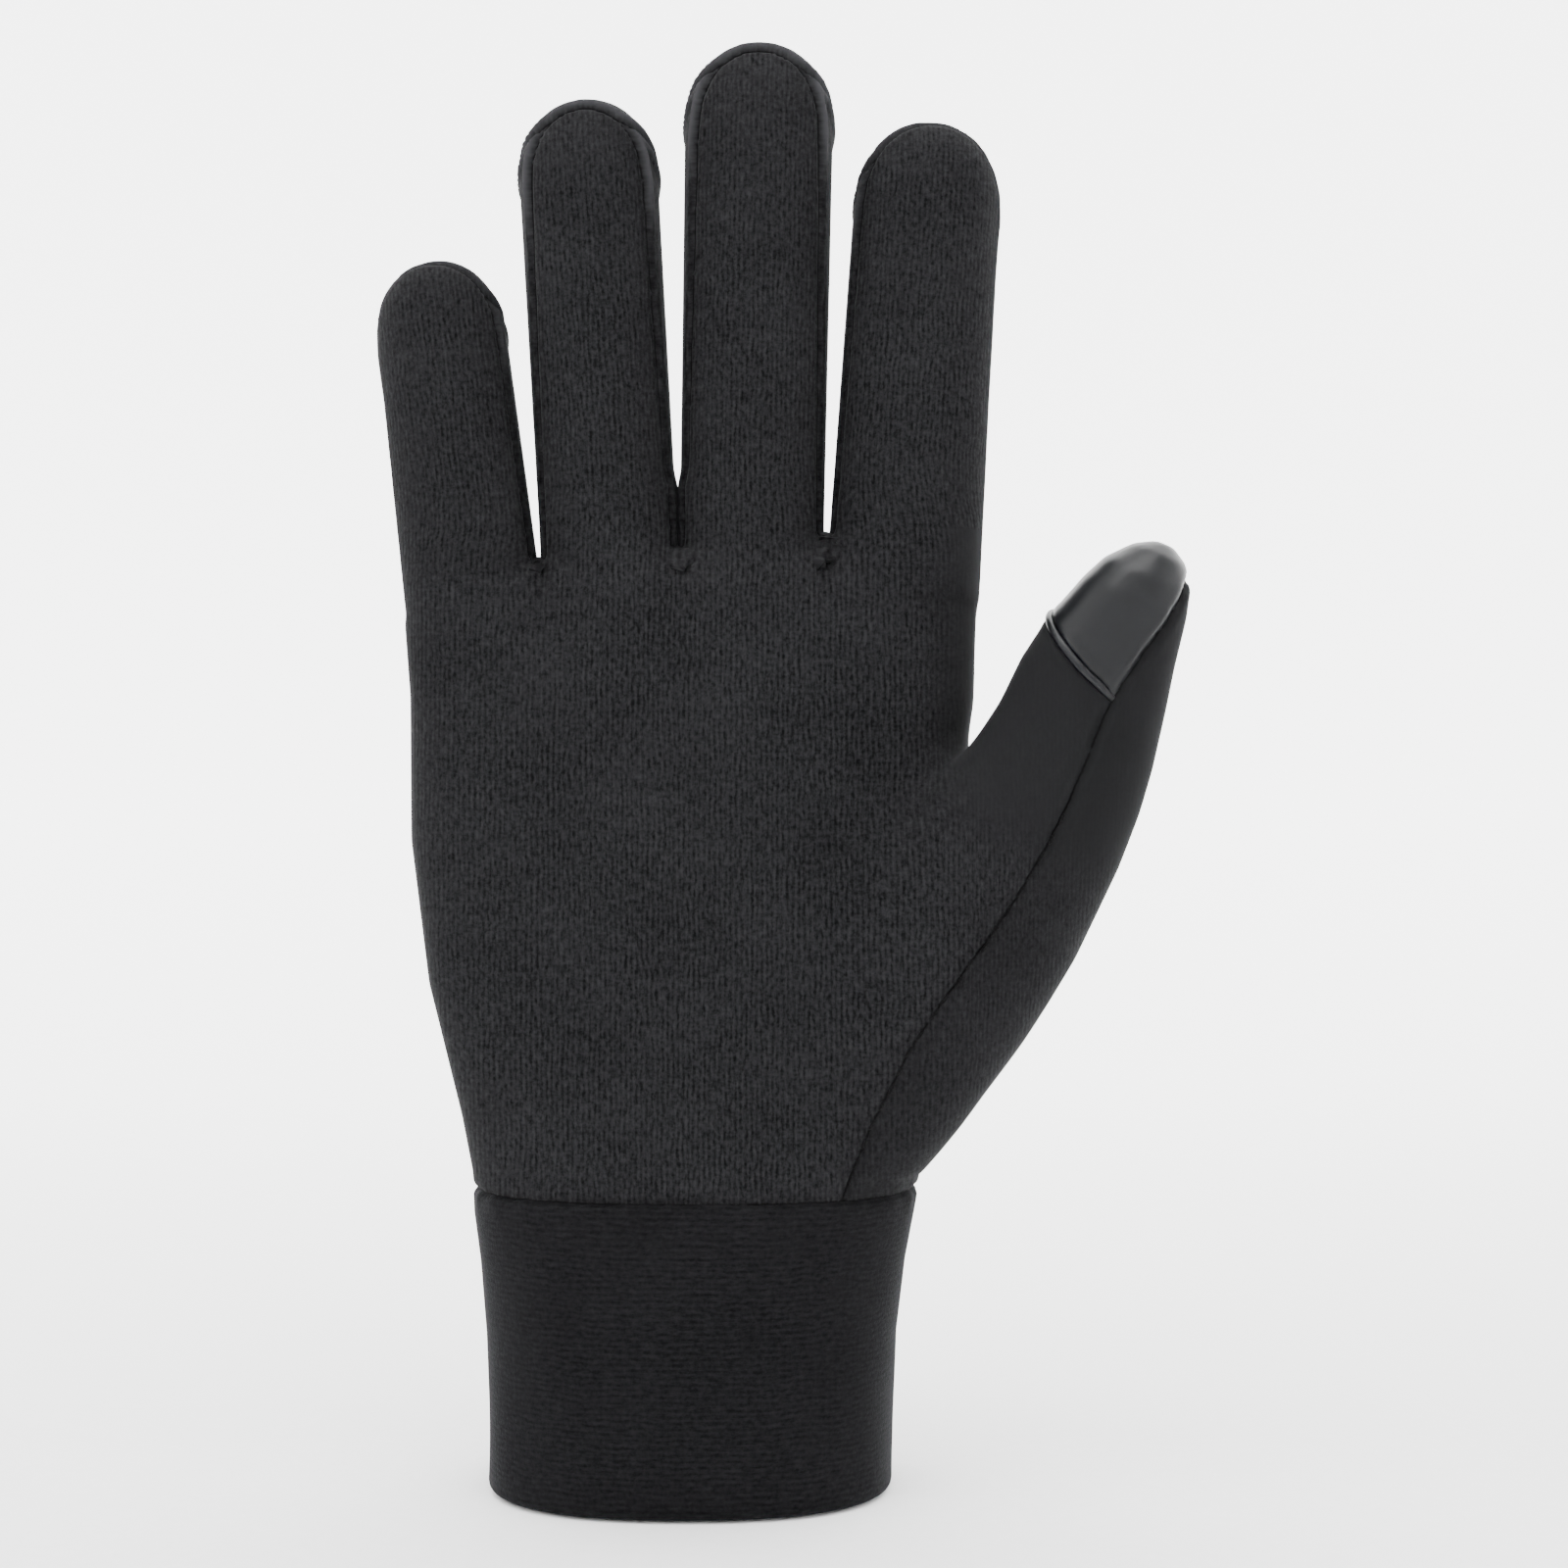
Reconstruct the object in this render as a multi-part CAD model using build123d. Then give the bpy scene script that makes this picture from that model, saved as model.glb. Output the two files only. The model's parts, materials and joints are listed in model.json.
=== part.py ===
"""A right-hand stretch running glove in its worn shape, cut and sewn from knit panels.

The glove stands on its wrist: +Z runs from the hem to the fingertips, the palm faces -Y and the thumb
points to +X. The origin is the centre of the wrist opening, on the hem. All sizes are in millimetres.
Every finger is a stall with two hinges, one at the knuckle and one at the middle joint, and the thumb
has one. At each hinge the stall is parted by a narrow gap that opens to a notch on the palm side.
"""

from build123d import *
from math import cos, hypot, pi, radians, sin, tan
import os

# Fabric and sewing
FABRIC = 1.1  # thickness of the brushed knit
SEAM_HALF = 5.0  # a fourchette is twice this wide, front seam to back seam
PLY_GAP = 0.5  # air between the two plies of the folded cuff
TOUCH = 0.1  # clearance of a piece that lies against a panel
OVERLOCK_HEIGHT = 4.5  # the sewn allowance inside the cuff seam
OVERLOCK_THICK = 1.5
OVERLOCK_INSET = 1.2  # from the panels' inside to the allowance

# Cuff and palm: (height, left edge, right edge, half depth) of level sections
CUFF_HEIGHT = 50.0
HEM = (0.0, -33.8, 33.8, 25.0)
CUFF_MIDDLE = (26.0, -34.2, 34.4, 24.2)
WRIST = (CUFF_HEIGHT, -36.2, 37.6, 22.5)
PALM_SECTIONS = [
    WRIST,
    (62.0, -38.6, 39.4, 20.0),
    (84.0, -44.1, 42.0, 18.0),
    (108.0, -47.0, 45.6, 16.6),
    (132.0, -47.2, 47.7, 14.6),
    (146.0, -48.2, 48.3, 12.6),
    (154.0, -48.4, 48.2, 10.0),
]
PALM_SQUARENESS = 2.5  # 2 is an ellipse, more is squarer

# Fingers: root x at ROOT_HEIGHT, lean from +Z towards +X, half widths at root and tip, tip height,
# knuckle and middle hinge heights, and which sides face another finger (-1 left, 1 right)
ROOT_HEIGHT = 160.0
FINGERS = {
    "little": dict(x=-38.0, lean=-6.9, root=11.5, tip=10.7, top=205.0, knuckle=164.0, middle=184.0, sides=(1,)),
    "ring": dict(x=-13.9, lean=-3.2, root=11.5, tip=11.6, top=232.6, knuckle=168.0, middle=199.5, sides=(-1, 1)),
    "middle": dict(x=10.3, lean=1.0, root=12.0, tip=12.4, top=242.2, knuckle=169.0, middle=204.5, sides=(-1, 1)),
    "index": dict(x=36.3, lean=3.6, root=12.9, tip=12.2, top=228.4, knuckle=168.5, middle=198.5, sides=(-1,)),
}
FINGER_DEPTH = 0.80  # half depth of a finger over its half width
FINGER_CAP = 0.75  # the back panel covers this much of a fingertip, over its half width
STALL_START = -26.0  # a finger's tube starts this far below its root, inside the palm

# Thumb and its ball: (x, y, z, half width, half depth, lean) of sections square to the thumb's line
THUMB_SECTIONS = [
    (20.0, -4.0, 54.0, 14.0, 14.0, 0.0),
    (29.2, -6.0, 66.0, 16.6, 15.4, 14.0),
    (37.4, -8.0, 81.0, 17.6, 15.8, 24.0),
    (46.2, -10.0, 96.5, 17.8, 15.3, 25.0),
    (54.8, -12.0, 110.5, 16.2, 14.0, 24.0),
    (61.0, -14.0, 122.0, 14.0, 12.4, 23.0),
    (65.6, -16.0, 133.0, 12.3, 11.0, 23.0),
]
THUMB_LEAN = 23.0  # of the last, straight stretch
THUMB_FORWARD = 9.0  # the thumb leans this much towards the palm side
THUMB_TUBE = 13.0  # length of the straight stretch before the tip's round
THUMB_TIP = 10.6  # half width where the tip's round starts
THUMB_TIP_LENGTH = 13.5
THUMB_DEPTH = 0.88
DOME_ANGLES = (0, 28, 52, 70, 82)  # where on the tip's round its sections lie, in degrees
THUMB_SPARE = 6.0  # the block that frees the thumb reaches this far past it on each side
PAD_TURN = 38.0  # the thumb's pad is turned this far from the palm side towards the fingers
THUMB_SIDE_SEAM = [(-8.2, 0.0), (5.0, 20.5)]  # (y, z) of the pad's side seams in the thumb's own frame
PATCH_START = 5.0  # the touch patch starts this far along the straight stretch, at its middle line
PATCH_SLANT = -0.43  # rise of its lower edge for each step across
WELT = 1.6  # width of the rolled edge below the touch patch
WELT_PROUD = 0.6

# Hinges
HINGE_FORWARD = 2.5  # a finger's hinges lie this far towards the palm side of its middle
HINGE_GAP = 0.6  # gap between the two parts at the hinge
THUMB_HINGE = -8.0  # where the thumb's hinge lies along its line, from the start of the straight stretch
FINGER_BEND = 60.0  # largest angle of one finger hinge
THUMB_BEND = 45.0
NOTCH_SPARE = 2.0  # a notch is wider than its bend by this angle
BIG = 60.0  # larger than any finger

FOURCHETTE_REACH = 6.0  # a fourchette's saddle starts this far from a finger's middle line
SADDLE_DEPTH = 10.0  # and this far below the root
THUMB_SEAM = [(25.0, 48.0), (28.0, 60.0), (36.0, 76.0), (46.5, 91.0), (57.0, 108.0), (64.0, 124.0), (68.5, 134.0)]
STITCH_LENGTH = 2.2
STITCH_PITCH = 3.4
STITCH_RADIUS = 0.35
STITCH_STOP = 19.0  # the stitches end this far below the seam's end, clear of the thumb's hinge
SEAM_TOP = (58.0, 190.0)  # the palm panel's outline goes on to here, above the thumb
SECTION_POINTS = 12


def ring(plane, half_width, half_depth, squareness):
    """A closed face like a squared ellipse, in the given plane."""
    points = []
    for k in range(SECTION_POINTS):
        a = 2 * pi * k / SECTION_POINTS
        c, s = cos(a), sin(a)
        grow = (abs(c) ** squareness + abs(s) ** squareness) ** (-1 / squareness)
        points.append((half_width * grow * c, half_depth * grow * s))
    edge = Spline(*points, periodic=True)
    return plane * Face(Wire([edge]))


def level(section, inset, squareness=PALM_SQUARENESS):
    """A horizontal section of the hand, taken in by inset."""
    z, left, right, half_depth = section
    plane = Plane(origin=((left + right) / 2, 0, z))
    return ring(plane, (right - left) / 2 - inset, half_depth - inset, squareness)


def palm_body(inset):
    """The hand without its thumb, from the wrist to the finger roots, taken in by inset."""
    sections = [level(s, inset) for s in PALM_SECTIONS[:-1]]
    z, left, right, half_depth = PALM_SECTIONS[-1]
    sections.append(level((z - inset, left, right, half_depth), inset))
    return Solid(loft(sections).wrapped)


def finger_frame(name):
    """The finger's own plane: origin at its root, +X across it and +Z along it."""
    f = FINGERS[name]
    a = radians(f["lean"])
    return Plane(origin=(f["x"], 0, ROOT_HEIGHT), x_dir=(cos(a), 0, -sin(a)), z_dir=(sin(a), 0, cos(a)))


def along(name, height):
    """How far along the finger's line from its root the given height is."""
    return (height - ROOT_HEIGHT) / cos(radians(FINGERS[name]["lean"]))


def finger_body(name, inset):
    """A finger's rounded tube in its own frame, taken in by inset."""
    f = FINGERS[name]
    top = along(name, f["top"]) - inset
    root, tip = f["root"] - inset, f["tip"] - inset
    shoulder = top - tip
    profile = Wire([
        Line((0, 0, STALL_START), (root, 0, STALL_START)),
        Line((root, 0, STALL_START), (root, 0, 0)),
        Line((root, 0, 0), (tip, 0, shoulder)),
        ThreePointArc((tip, 0, shoulder), (tip * cos(pi / 4), 0, shoulder + tip * sin(pi / 4)), (0, 0, top)),
        Line((0, 0, top), (0, 0, STALL_START)),
    ])
    round_body = revolve(Face(profile), axis=Axis.Z)
    depth = (f["root"] * FINGER_DEPTH - inset) / root
    return scale(round_body, by=(1, depth, 1))


def thumb_direction():
    """Unit vector along the thumb's straight stretch."""
    lean, forward = radians(THUMB_LEAN), radians(THUMB_FORWARD)
    return Vector(sin(lean) * cos(forward), -sin(forward), cos(lean) * cos(forward))


def thumb_frame():
    """The straight stretch's plane: origin at its start, +Z along it, -Y out of the pad."""
    x, y, z = THUMB_SECTIONS[-1][:3]
    line = thumb_direction()
    turn = radians(PAD_TURN)
    pad = Vector(-sin(turn), -cos(turn), 0)
    pad = (pad - line * pad.dot(line)).normalized()
    return Plane(origin=(x, y, z), x_dir=line.cross(pad), z_dir=line)


def thumb_body(inset):
    """The thumb with its ball, taken in by inset."""
    sections = []
    for x, y, z, half_width, half_depth, lean in THUMB_SECTIONS:
        a = radians(lean)
        plane = Plane(origin=(x, y, z), x_dir=(cos(a), 0, -sin(a)), z_dir=(sin(a), 0, cos(a)))
        sections.append(ring(plane, half_width - inset, half_depth - inset, 2))
    line = thumb_direction()
    start = Vector(*THUMB_SECTIONS[-1][:3])
    across = Vector(cos(radians(THUMB_LEAN)), 0, -sin(radians(THUMB_LEAN)))
    half_width, length = THUMB_TIP - inset, THUMB_TIP_LENGTH - inset
    for angle in DOME_ANGLES:
        reach = THUMB_TUBE + length * sin(radians(angle))
        shrink = half_width * cos(radians(angle))
        plane = Plane(origin=start + line * reach, x_dir=across, z_dir=line)
        sections.append(ring(plane, shrink, shrink * THUMB_DEPTH, 2))
    return Solid(loft(sections).wrapped)


def prism(points, half_width):
    """A block with the given (y, z) outline, half_width to each side of the frame's middle."""
    outline = Plane.YZ * Face(Wire.make_polygon([(y, z, 0) for y, z in points], close=True))
    return extrude(outline, amount=half_width, both=True)


def hinge_side(at, bend, forward, upper):
    """Outline points, from the back to the palm side, of one part's end at a hinge."""
    slope = tan(radians((bend + NOTCH_SPARE) / 2))
    sign = 1 if upper else -1
    end = at + sign * HINGE_GAP / 2
    return [(BIG, end), (-forward, end), (-BIG, end + sign * (BIG - forward) * slope)]


def stretch(low, high):
    """The outline between two part ends."""
    return low + high[::-1]


def box(x0, x1, y0, y1, z0, z1):
    """A block between two corners."""
    block = Box(x1 - x0, y1 - y0, z1 - z0, align=(Align.MIN, Align.MIN, Align.MIN))
    return Pos(x0, y0, z0) * block


def finger_regions(name):
    """(front region, {side: wall region}) of a finger's panels in its own frame."""
    f = FINGERS[name]
    cap = along(name, f["top"]) - f["tip"] * FINGER_CAP
    front = box(-BIG, BIG, -BIG, -SEAM_HALF, -BIG, 2 * BIG)
    for side in (-1, 1):
        if side not in f["sides"]:
            x0, x1 = sorted((0, side * BIG))
            front += box(x0, x1, -SEAM_HALF - TOUCH, 0, -BIG, cap)
    walls = {}
    for side in f["sides"]:
        x0, x1 = sorted((0, side * BIG))
        walls[side] = box(x0, x1, -SEAM_HALF, SEAM_HALF, -BIG, cap)
    return front, walls


def finger_parts(name):
    """{node: shape} of one finger's stall above its knuckle."""
    f = FINGERS[name]
    shell = finger_body(name, 0) - finger_body(name, FABRIC)
    knuckle, middle = along(name, f["knuckle"]), along(name, f["middle"])
    lengths = {
        "base": stretch(
            hinge_side(knuckle, FINGER_BEND, HINGE_FORWARD, True),
            hinge_side(middle, FINGER_BEND, HINGE_FORWARD, False),
        ),
        "tip": stretch(
            hinge_side(middle, FINGER_BEND, HINGE_FORWARD, True),
            [(BIG, 2 * BIG), (-BIG, 2 * BIG)],
        ),
    }
    front, walls = finger_regions(name)
    parts = {}
    for length, outline in lengths.items():
        piece = shell & prism(outline, BIG)
        back = piece - front
        parts[f"{name}_{length}_palm_face"] = piece & front
        for side, wall in walls.items():
            hand = "inner" if side < 0 else "outer"
            parts[f"{name}_{length}_{hand}_fourchette"] = piece & wall
            back = back - wall
        parts[f"{name}_{length}_back_face"] = back
    frame = finger_frame(name)
    return {node: frame.location * shape for node, shape in parts.items()}


def above_slant(start):
    """The block above an oblique line across the pad, in the thumb's own frame."""
    corners = [(-BIG, start - BIG * PATCH_SLANT), (BIG, start + BIG * PATCH_SLANT), (BIG, BIG), (-BIG, BIG)]
    outline = Plane.XZ * Face(Wire.make_polygon([(x, z, 0) for x, z in corners], close=True))
    return extrude(outline, amount=BIG, both=True)


def thumb_parts():
    """{node: shape} of the thumb above its hinge."""
    frame = thumb_frame().location
    shell = thumb_body(0) - thumb_body(FABRIC)
    outline = stretch(
        hinge_side(THUMB_HINGE, THUMB_BEND, HINGE_FORWARD, True),
        [(BIG, 2 * BIG), (-BIG, 2 * BIG)],
    )
    piece = shell & (frame * prism(outline, BIG))
    (y0, z0), (y1, z1) = THUMB_SIDE_SEAM
    pad_side = frame * prism([(-BIG, -BIG), (y0, -BIG), (y0, z0), (y1, z1), (y1, BIG), (-BIG, BIG)], BIG)
    patch_region = frame * above_slant(PATCH_START)
    welt_region = frame * above_slant(PATCH_START - WELT) - patch_region
    proud = thumb_body(-WELT_PROUD) - thumb_body(FABRIC)
    front = piece & pad_side
    return {
        "thumb_palm_face": front - patch_region - welt_region,
        "thumb_touch_patch": front & patch_region,
        "thumb_patch_welt": proud & welt_region & pad_side,
        "thumb_back_face": piece - pad_side,
    }


def hand_solid(inset):
    """The whole hand up to its hinges, taken in by inset."""
    body = palm_body(inset)
    for name in FINGERS:
        body = body + finger_frame(name).location * finger_body(name, inset)
    return body + thumb_body(inset)


def above_hinges():
    """What has to go from the hand so that the finger stalls and the thumb can turn."""
    blocks = []
    for name, f in FINGERS.items():
        outline = stretch(
            hinge_side(along(name, f["knuckle"]), FINGER_BEND, HINGE_FORWARD, False),
            [(BIG, 2 * BIG), (-BIG, 2 * BIG)],
        )
        half_width = max(f["root"], f["tip"]) + HINGE_GAP / 2
        blocks.append(finger_frame(name).location * prism(outline, half_width))
    outline = stretch(
        hinge_side(THUMB_HINGE, THUMB_BEND, HINGE_FORWARD, False),
        [(BIG, 2 * BIG), (-BIG, 2 * BIG)],
    )
    half_width = THUMB_SECTIONS[-1][3] + THUMB_SPARE
    blocks.append(thumb_frame().location * prism(outline, half_width))
    return blocks


def saddles():
    """{node: region} of the fourchettes' saddles between neighbouring fingers."""
    names = list(FINGERS)
    found = {}
    for left, right in zip(names, names[1:]):
        x0 = FINGERS[left]["x"] + FOURCHETTE_REACH
        x1 = FINGERS[right]["x"] - FOURCHETTE_REACH
        low = ROOT_HEIGHT - SADDLE_DEPTH
        found[f"{left}_{right}_fourchette"] = box(x0, x1, -SEAM_HALF, SEAM_HALF, low, low + BIG)
    return found


def hand_parts():
    """{node: shape} of the palm and back panels and the fourchettes' saddles."""
    shell = hand_solid(0) - hand_solid(FABRIC)
    for block in above_hinges():
        shell = shell - block
    parts = {}
    for node, region in saddles().items():
        parts[node] = shell & region
        shell = shell - region
    corners = [(-BIG, THUMB_SEAM[0][1])] + THUMB_SEAM + [SEAM_TOP, (-BIG, SEAM_TOP[1])]
    front = Plane.XZ * Face(Wire.make_polygon([(x, z, 0) for x, z in corners], close=True))
    front = extrude(front, amount=BIG)
    parts["palm_panel"] = shell & front
    parts["back_panel"] = shell - front
    return parts


def on_seam(reach):
    """The point (x, z) at the given length along the thumb seam."""
    for (x0, z0), (x1, z1) in zip(THUMB_SEAM, THUMB_SEAM[1:]):
        length = hypot(x1 - x0, z1 - z0)
        if reach <= length:
            return x0 + (x1 - x0) * reach / length, z0 + (z1 - z0) * reach / length
        reach -= length
    return THUMB_SEAM[-1]


def stitches():
    """A row of thread lengths lying on the thumb seam, between the cuff and the thumb's hinge."""
    body = hand_solid(0)
    found = []
    total = sum(hypot(x1 - x0, z1 - z0) for (x0, z0), (x1, z1) in zip(THUMB_SEAM, THUMB_SEAM[1:]))
    reach = CUFF_HEIGHT - THUMB_SEAM[0][1] + 2 * STITCH_PITCH
    while reach < total - STITCH_STOP:
        ends = []
        for at in (reach - STITCH_LENGTH / 2, reach + STITCH_LENGTH / 2):
            x, z = on_seam(at)
            hits = body.find_intersection_points(Axis((x, -BIG, z), (0, 1, 0)))
            point, normal = min(hits, key=lambda hit: hit[0].Y)
            outward = normal if normal.Y < 0 else normal * -1
            ends.append(point + outward * (STITCH_RADIUS + TOUCH))
        line = ends[1] - ends[0]
        start = Plane(origin=ends[0], z_dir=line)
        found.append(extrude(start * Circle(STITCH_RADIUS), amount=line.length))
        reach += STITCH_PITCH
    return Compound(children=[s.solid() for s in found])


def cuff_body(inset, low, high):
    """The cuff's loft taken in by inset, between two heights."""
    body = loft([level(s, inset) for s in (HEM, CUFF_MIDDLE, WRIST)])
    return body & box(-BIG, BIG, -BIG, BIG, low, high)


def cuff_parts():
    """{node: shape} of the folded cuff and the overlocked allowance inside its seam."""
    outer = cuff_body(0, 0, CUFF_HEIGHT)
    cuff = outer - cuff_body(2 * FABRIC + PLY_GAP, 0, CUFF_HEIGHT)
    between = cuff_body(FABRIC, FABRIC, CUFF_HEIGHT) - cuff_body(FABRIC + PLY_GAP, FABRIC, CUFF_HEIGHT)
    z, left, right, half_depth = WRIST
    start = FABRIC + TOUCH + OVERLOCK_INSET
    top = (z + OVERLOCK_HEIGHT, left, right, PALM_SECTIONS[1][3])
    bottom = (z, left, right, half_depth)
    rim = [loft([level(bottom, i), level(top, i)]) for i in (start, start + OVERLOCK_THICK)]
    return {"cuff": cuff - between, "cuff_seam_overlock": rim[0] - rim[1]}


def main():
    os.makedirs("parts", exist_ok=True)
    parts = {**cuff_parts(), **hand_parts(), **thumb_parts(), "thumb_seam_stitches": stitches()}
    for name in FINGERS:
        parts.update(finger_parts(name))
    for node, shape in parts.items():
        export_step(Compound(children=shape.solids()), f"parts/{node}.step")


if __name__ == "__main__":
    main()
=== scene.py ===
import json
from math import atan2, cos, pi, radians, sin

import bmesh
import bpy
import numpy as np
from mathutils import Matrix, Vector
from mathutils.kdtree import KDTree

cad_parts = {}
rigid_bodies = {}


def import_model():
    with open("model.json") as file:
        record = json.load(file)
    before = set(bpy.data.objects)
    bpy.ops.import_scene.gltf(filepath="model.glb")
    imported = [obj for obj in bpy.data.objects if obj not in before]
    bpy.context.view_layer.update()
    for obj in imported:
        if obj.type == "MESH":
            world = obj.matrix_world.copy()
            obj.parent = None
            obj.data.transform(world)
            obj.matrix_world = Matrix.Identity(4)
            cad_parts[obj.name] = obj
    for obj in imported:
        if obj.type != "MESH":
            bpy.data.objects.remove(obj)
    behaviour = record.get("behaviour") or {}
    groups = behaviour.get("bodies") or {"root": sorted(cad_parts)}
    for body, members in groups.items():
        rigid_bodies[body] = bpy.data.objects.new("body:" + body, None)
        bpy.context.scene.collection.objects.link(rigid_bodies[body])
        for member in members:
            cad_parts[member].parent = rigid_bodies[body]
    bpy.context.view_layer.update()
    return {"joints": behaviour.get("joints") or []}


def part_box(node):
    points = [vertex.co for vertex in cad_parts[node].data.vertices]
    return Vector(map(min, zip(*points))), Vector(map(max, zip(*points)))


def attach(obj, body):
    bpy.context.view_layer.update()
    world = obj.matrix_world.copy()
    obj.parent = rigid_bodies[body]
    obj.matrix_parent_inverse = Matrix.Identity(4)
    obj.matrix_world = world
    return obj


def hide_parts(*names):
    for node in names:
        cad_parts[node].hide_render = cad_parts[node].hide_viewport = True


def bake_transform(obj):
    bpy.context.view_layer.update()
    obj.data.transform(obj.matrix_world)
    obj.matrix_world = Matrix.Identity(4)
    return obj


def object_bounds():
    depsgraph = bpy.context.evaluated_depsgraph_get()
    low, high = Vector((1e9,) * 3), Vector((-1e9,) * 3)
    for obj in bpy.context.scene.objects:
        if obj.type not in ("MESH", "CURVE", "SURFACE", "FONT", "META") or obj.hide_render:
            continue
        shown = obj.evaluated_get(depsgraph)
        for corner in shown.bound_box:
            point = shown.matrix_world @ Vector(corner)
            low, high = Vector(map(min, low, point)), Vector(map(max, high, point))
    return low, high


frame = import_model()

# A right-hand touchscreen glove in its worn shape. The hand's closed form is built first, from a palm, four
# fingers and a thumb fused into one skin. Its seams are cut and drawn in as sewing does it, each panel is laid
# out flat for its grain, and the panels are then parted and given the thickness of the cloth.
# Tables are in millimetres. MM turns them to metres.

MM = 0.001
JOINTS = {j["name"]: j for j in frame["joints"]}

# Camera and light
CAMERA_DISTANCE = 0.42
CAMERA_SIDE = 0.0157
CAMERA_HEIGHT = 0.1174
SENSOR = 36.0
VIEW_WIDTH = 1600 / 6050  # metres that the frame spans at the glove's middle

# Cloth and sewing
VOXEL = 0.64
CLOTH = 1.0  # thickness of the knit
SEAM_DEPTH = 0.62  # how far a seam draws the cloth in
SEAM_WIDTH = 1.15  # and how far to each side
SEAM_RIDGE = 0.10  # the swell beside a seam
SEAM_RIDGE_AT, SEAM_RIDGE_WIDTH = 1.7, 0.7
TIP_RIDGE = 0.55  # the turned edge round a fingertip stands prouder
TIP_RIDGE_AT, TIP_RIDGE_WIDTH = 1.2, 0.6
SEAM_REACH = 5.0  # beyond this a seam no longer changes the cloth
FOURCHETTE_HALF = 5.5  # from a finger's middle to the back seam of its side walls
WALL_TAPER, WALL_TAPER_LENGTH = 1.5, 1.1  # a wall narrows from here, in half widths of the fingertip
FRONT_START = 14.0  # the front seam is measured from this far below the knuckle
FRONT_FOOT = 3.5  # there it lies this far forward
FRONT_RISE = 0.028  # and this much more for each millimetre up
OUTER_SHARE = 0.8  # it lies nearer to the middle on the little and index fingers
FINGER_FLOOR = 148  # a finger has its own seams above this height
CUFF_TOP = 50.0
GATHER_DEPTH, GATHERS, GATHER_SPREAD = 0.10, 43, 2.6  # the knit eased on to the cuff

# Palm: (height, left edge, right edge, half depth, tilt)
PALM = [
    (44.0, -35.2, 37.0, 22.6, 0),
    (50.0, -36.0, 37.9, 22.0, 0),
    (62.0, -38.4, 40.2, 20.0, 0),
    (84.0, -43.9, 42.0, 18.0, 0),
    (108.0, -46.9, 45.6, 16.6, 0),
    (132.0, -47.1, 47.6, 14.6, 0),
    (146.0, -48.1, 48.2, 12.4, -2),
    (151.5, -47.6, 47.9, 10.8, -4),
    (154.8, -46.0, 46.6, 8.8, -5),
    (156.6, -43.6, 44.4, 5.6, -5),
]
PALM_SQUARENESS = 2.5

# Fingers: half widths at root and tip, and which sides face a neighbour (-1 left, 1 right)
FINGERS = {
    "little": dict(root=11.6, tip=10.9, sides=(1,)),
    "ring": dict(root=11.6, tip=11.7, sides=(-1, 1)),
    "middle": dict(root=12.1, tip=12.5, sides=(-1, 1)),
    "index": dict(root=13.0, tip=12.3, sides=(-1,)),
}
NAMES = list(FINGERS)
WALLS = ("little_ring", "ring_middle", "middle_index")
FINGER_DEPTH = 0.80
DOME = 1.25  # length of a fingertip's round over its half width
DOME_SQUARENESS = 2.2
STALL_FOOT = -20.0  # a finger's form starts this far below its knuckle
SPARE = 1.0  # neighbouring fingers are fused this much slimmer and let out again after
LET_OUT_FROM, LET_OUT_OVER = 151.0, 4.5  # heights over which they are let out
KISS = ("ring", "middle")  # these two touch above their crotch, up to KISS_TOP
KISS_TOP = 166.0
KISS_GAP = -0.3  # they press a little into each other
BEND_HALF = 9.0  # half length of the stretch of cloth that turns at a joint
KNUCKLE_HALF = 8.2

# Thumb: (x, y, z, half width, half depth, lean) of sections square to its line
THUMB = [
    (18.0, -4.0, 47.0, 13.0, 13.0, 0),
    (22.8, -4.6, 55.0, 16.4, 14.4, 6),
    (29.4, -6.0, 66.0, 17.4, 15.6, 14),
    (38.0, -8.0, 81.0, 18.4, 16.0, 24),
    (46.8, -10.0, 96.5, 18.6, 15.4, 25),
    (55.1, -12.0, 110.5, 16.9, 14.0, 24),
    (60.0, -13.6, 118.5, 15.0, 12.6, 23),
    (63.3, -14.8, 125.4, 13.6, 11.8, 23),
    (65.8, -16.0, 133.0, 12.6, 11.2, 23),
    (68.7, -17.3, 140.4, 11.0, 10.3, 23),
    (72.3, -18.4, 147.5, 9.0, 8.8, 23),
    (74.2, -18.9, 151.1, 7.5, 7.3, 23),
    (76.1, -19.3, 154.4, 4.6, 4.7, 23),
    (77.0, -19.4, 156.0, 1.6, 1.8, 23),
]
THUMB_START = np.array((65.6, -16.0, 133.0))
THUMB_LEAN, THUMB_FORWARD, PAD_TURN = radians(23), radians(9), radians(38)
THUMB_STANDS = 115  # above this height its sections lean forward too
THUMB_BEND = (-15.5, -0.5)  # the stretch of its line that turns at the joint
THUMB_EDGE = (47.3, 121.5, 0.2)  # across, up and lean of the line that parts the thumb from the hand
THUMB_SEAM = [(22.6, 44.0), (25.5, 51.0), (29.6, 62.0), (36.0, 75.2), (41.6, 83.6), (47.6, 92.0), (52.4, 98.8),
              (56.6, 106.0), (60.4, 113.6), (63.2, 120.0), (66.3, 127.8), (69.0, 132.8), (72.8, 138.0), (76.6, 142.9),
              (79.4, 147.3), (80.9, 151.0), (80.8, 154.5), (80.0, 160.0)]
WEB = np.array((46.3, 0.0, 120.0))
PATCH_EDGE, PATCH_SLANT = 4.2, 0.43  # where the patch starts on the thumb's line, and its rise across
WELT_RADIUS = 0.66
WELT_POINTS = 44
STITCH_PITCH, STITCH_LENGTH, STITCH_RADIUS = 3.4, 2.2, 0.34
STITCH_START = 53.0  # height of the lowest stitch
STITCH_SUNK = 0.05
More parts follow.
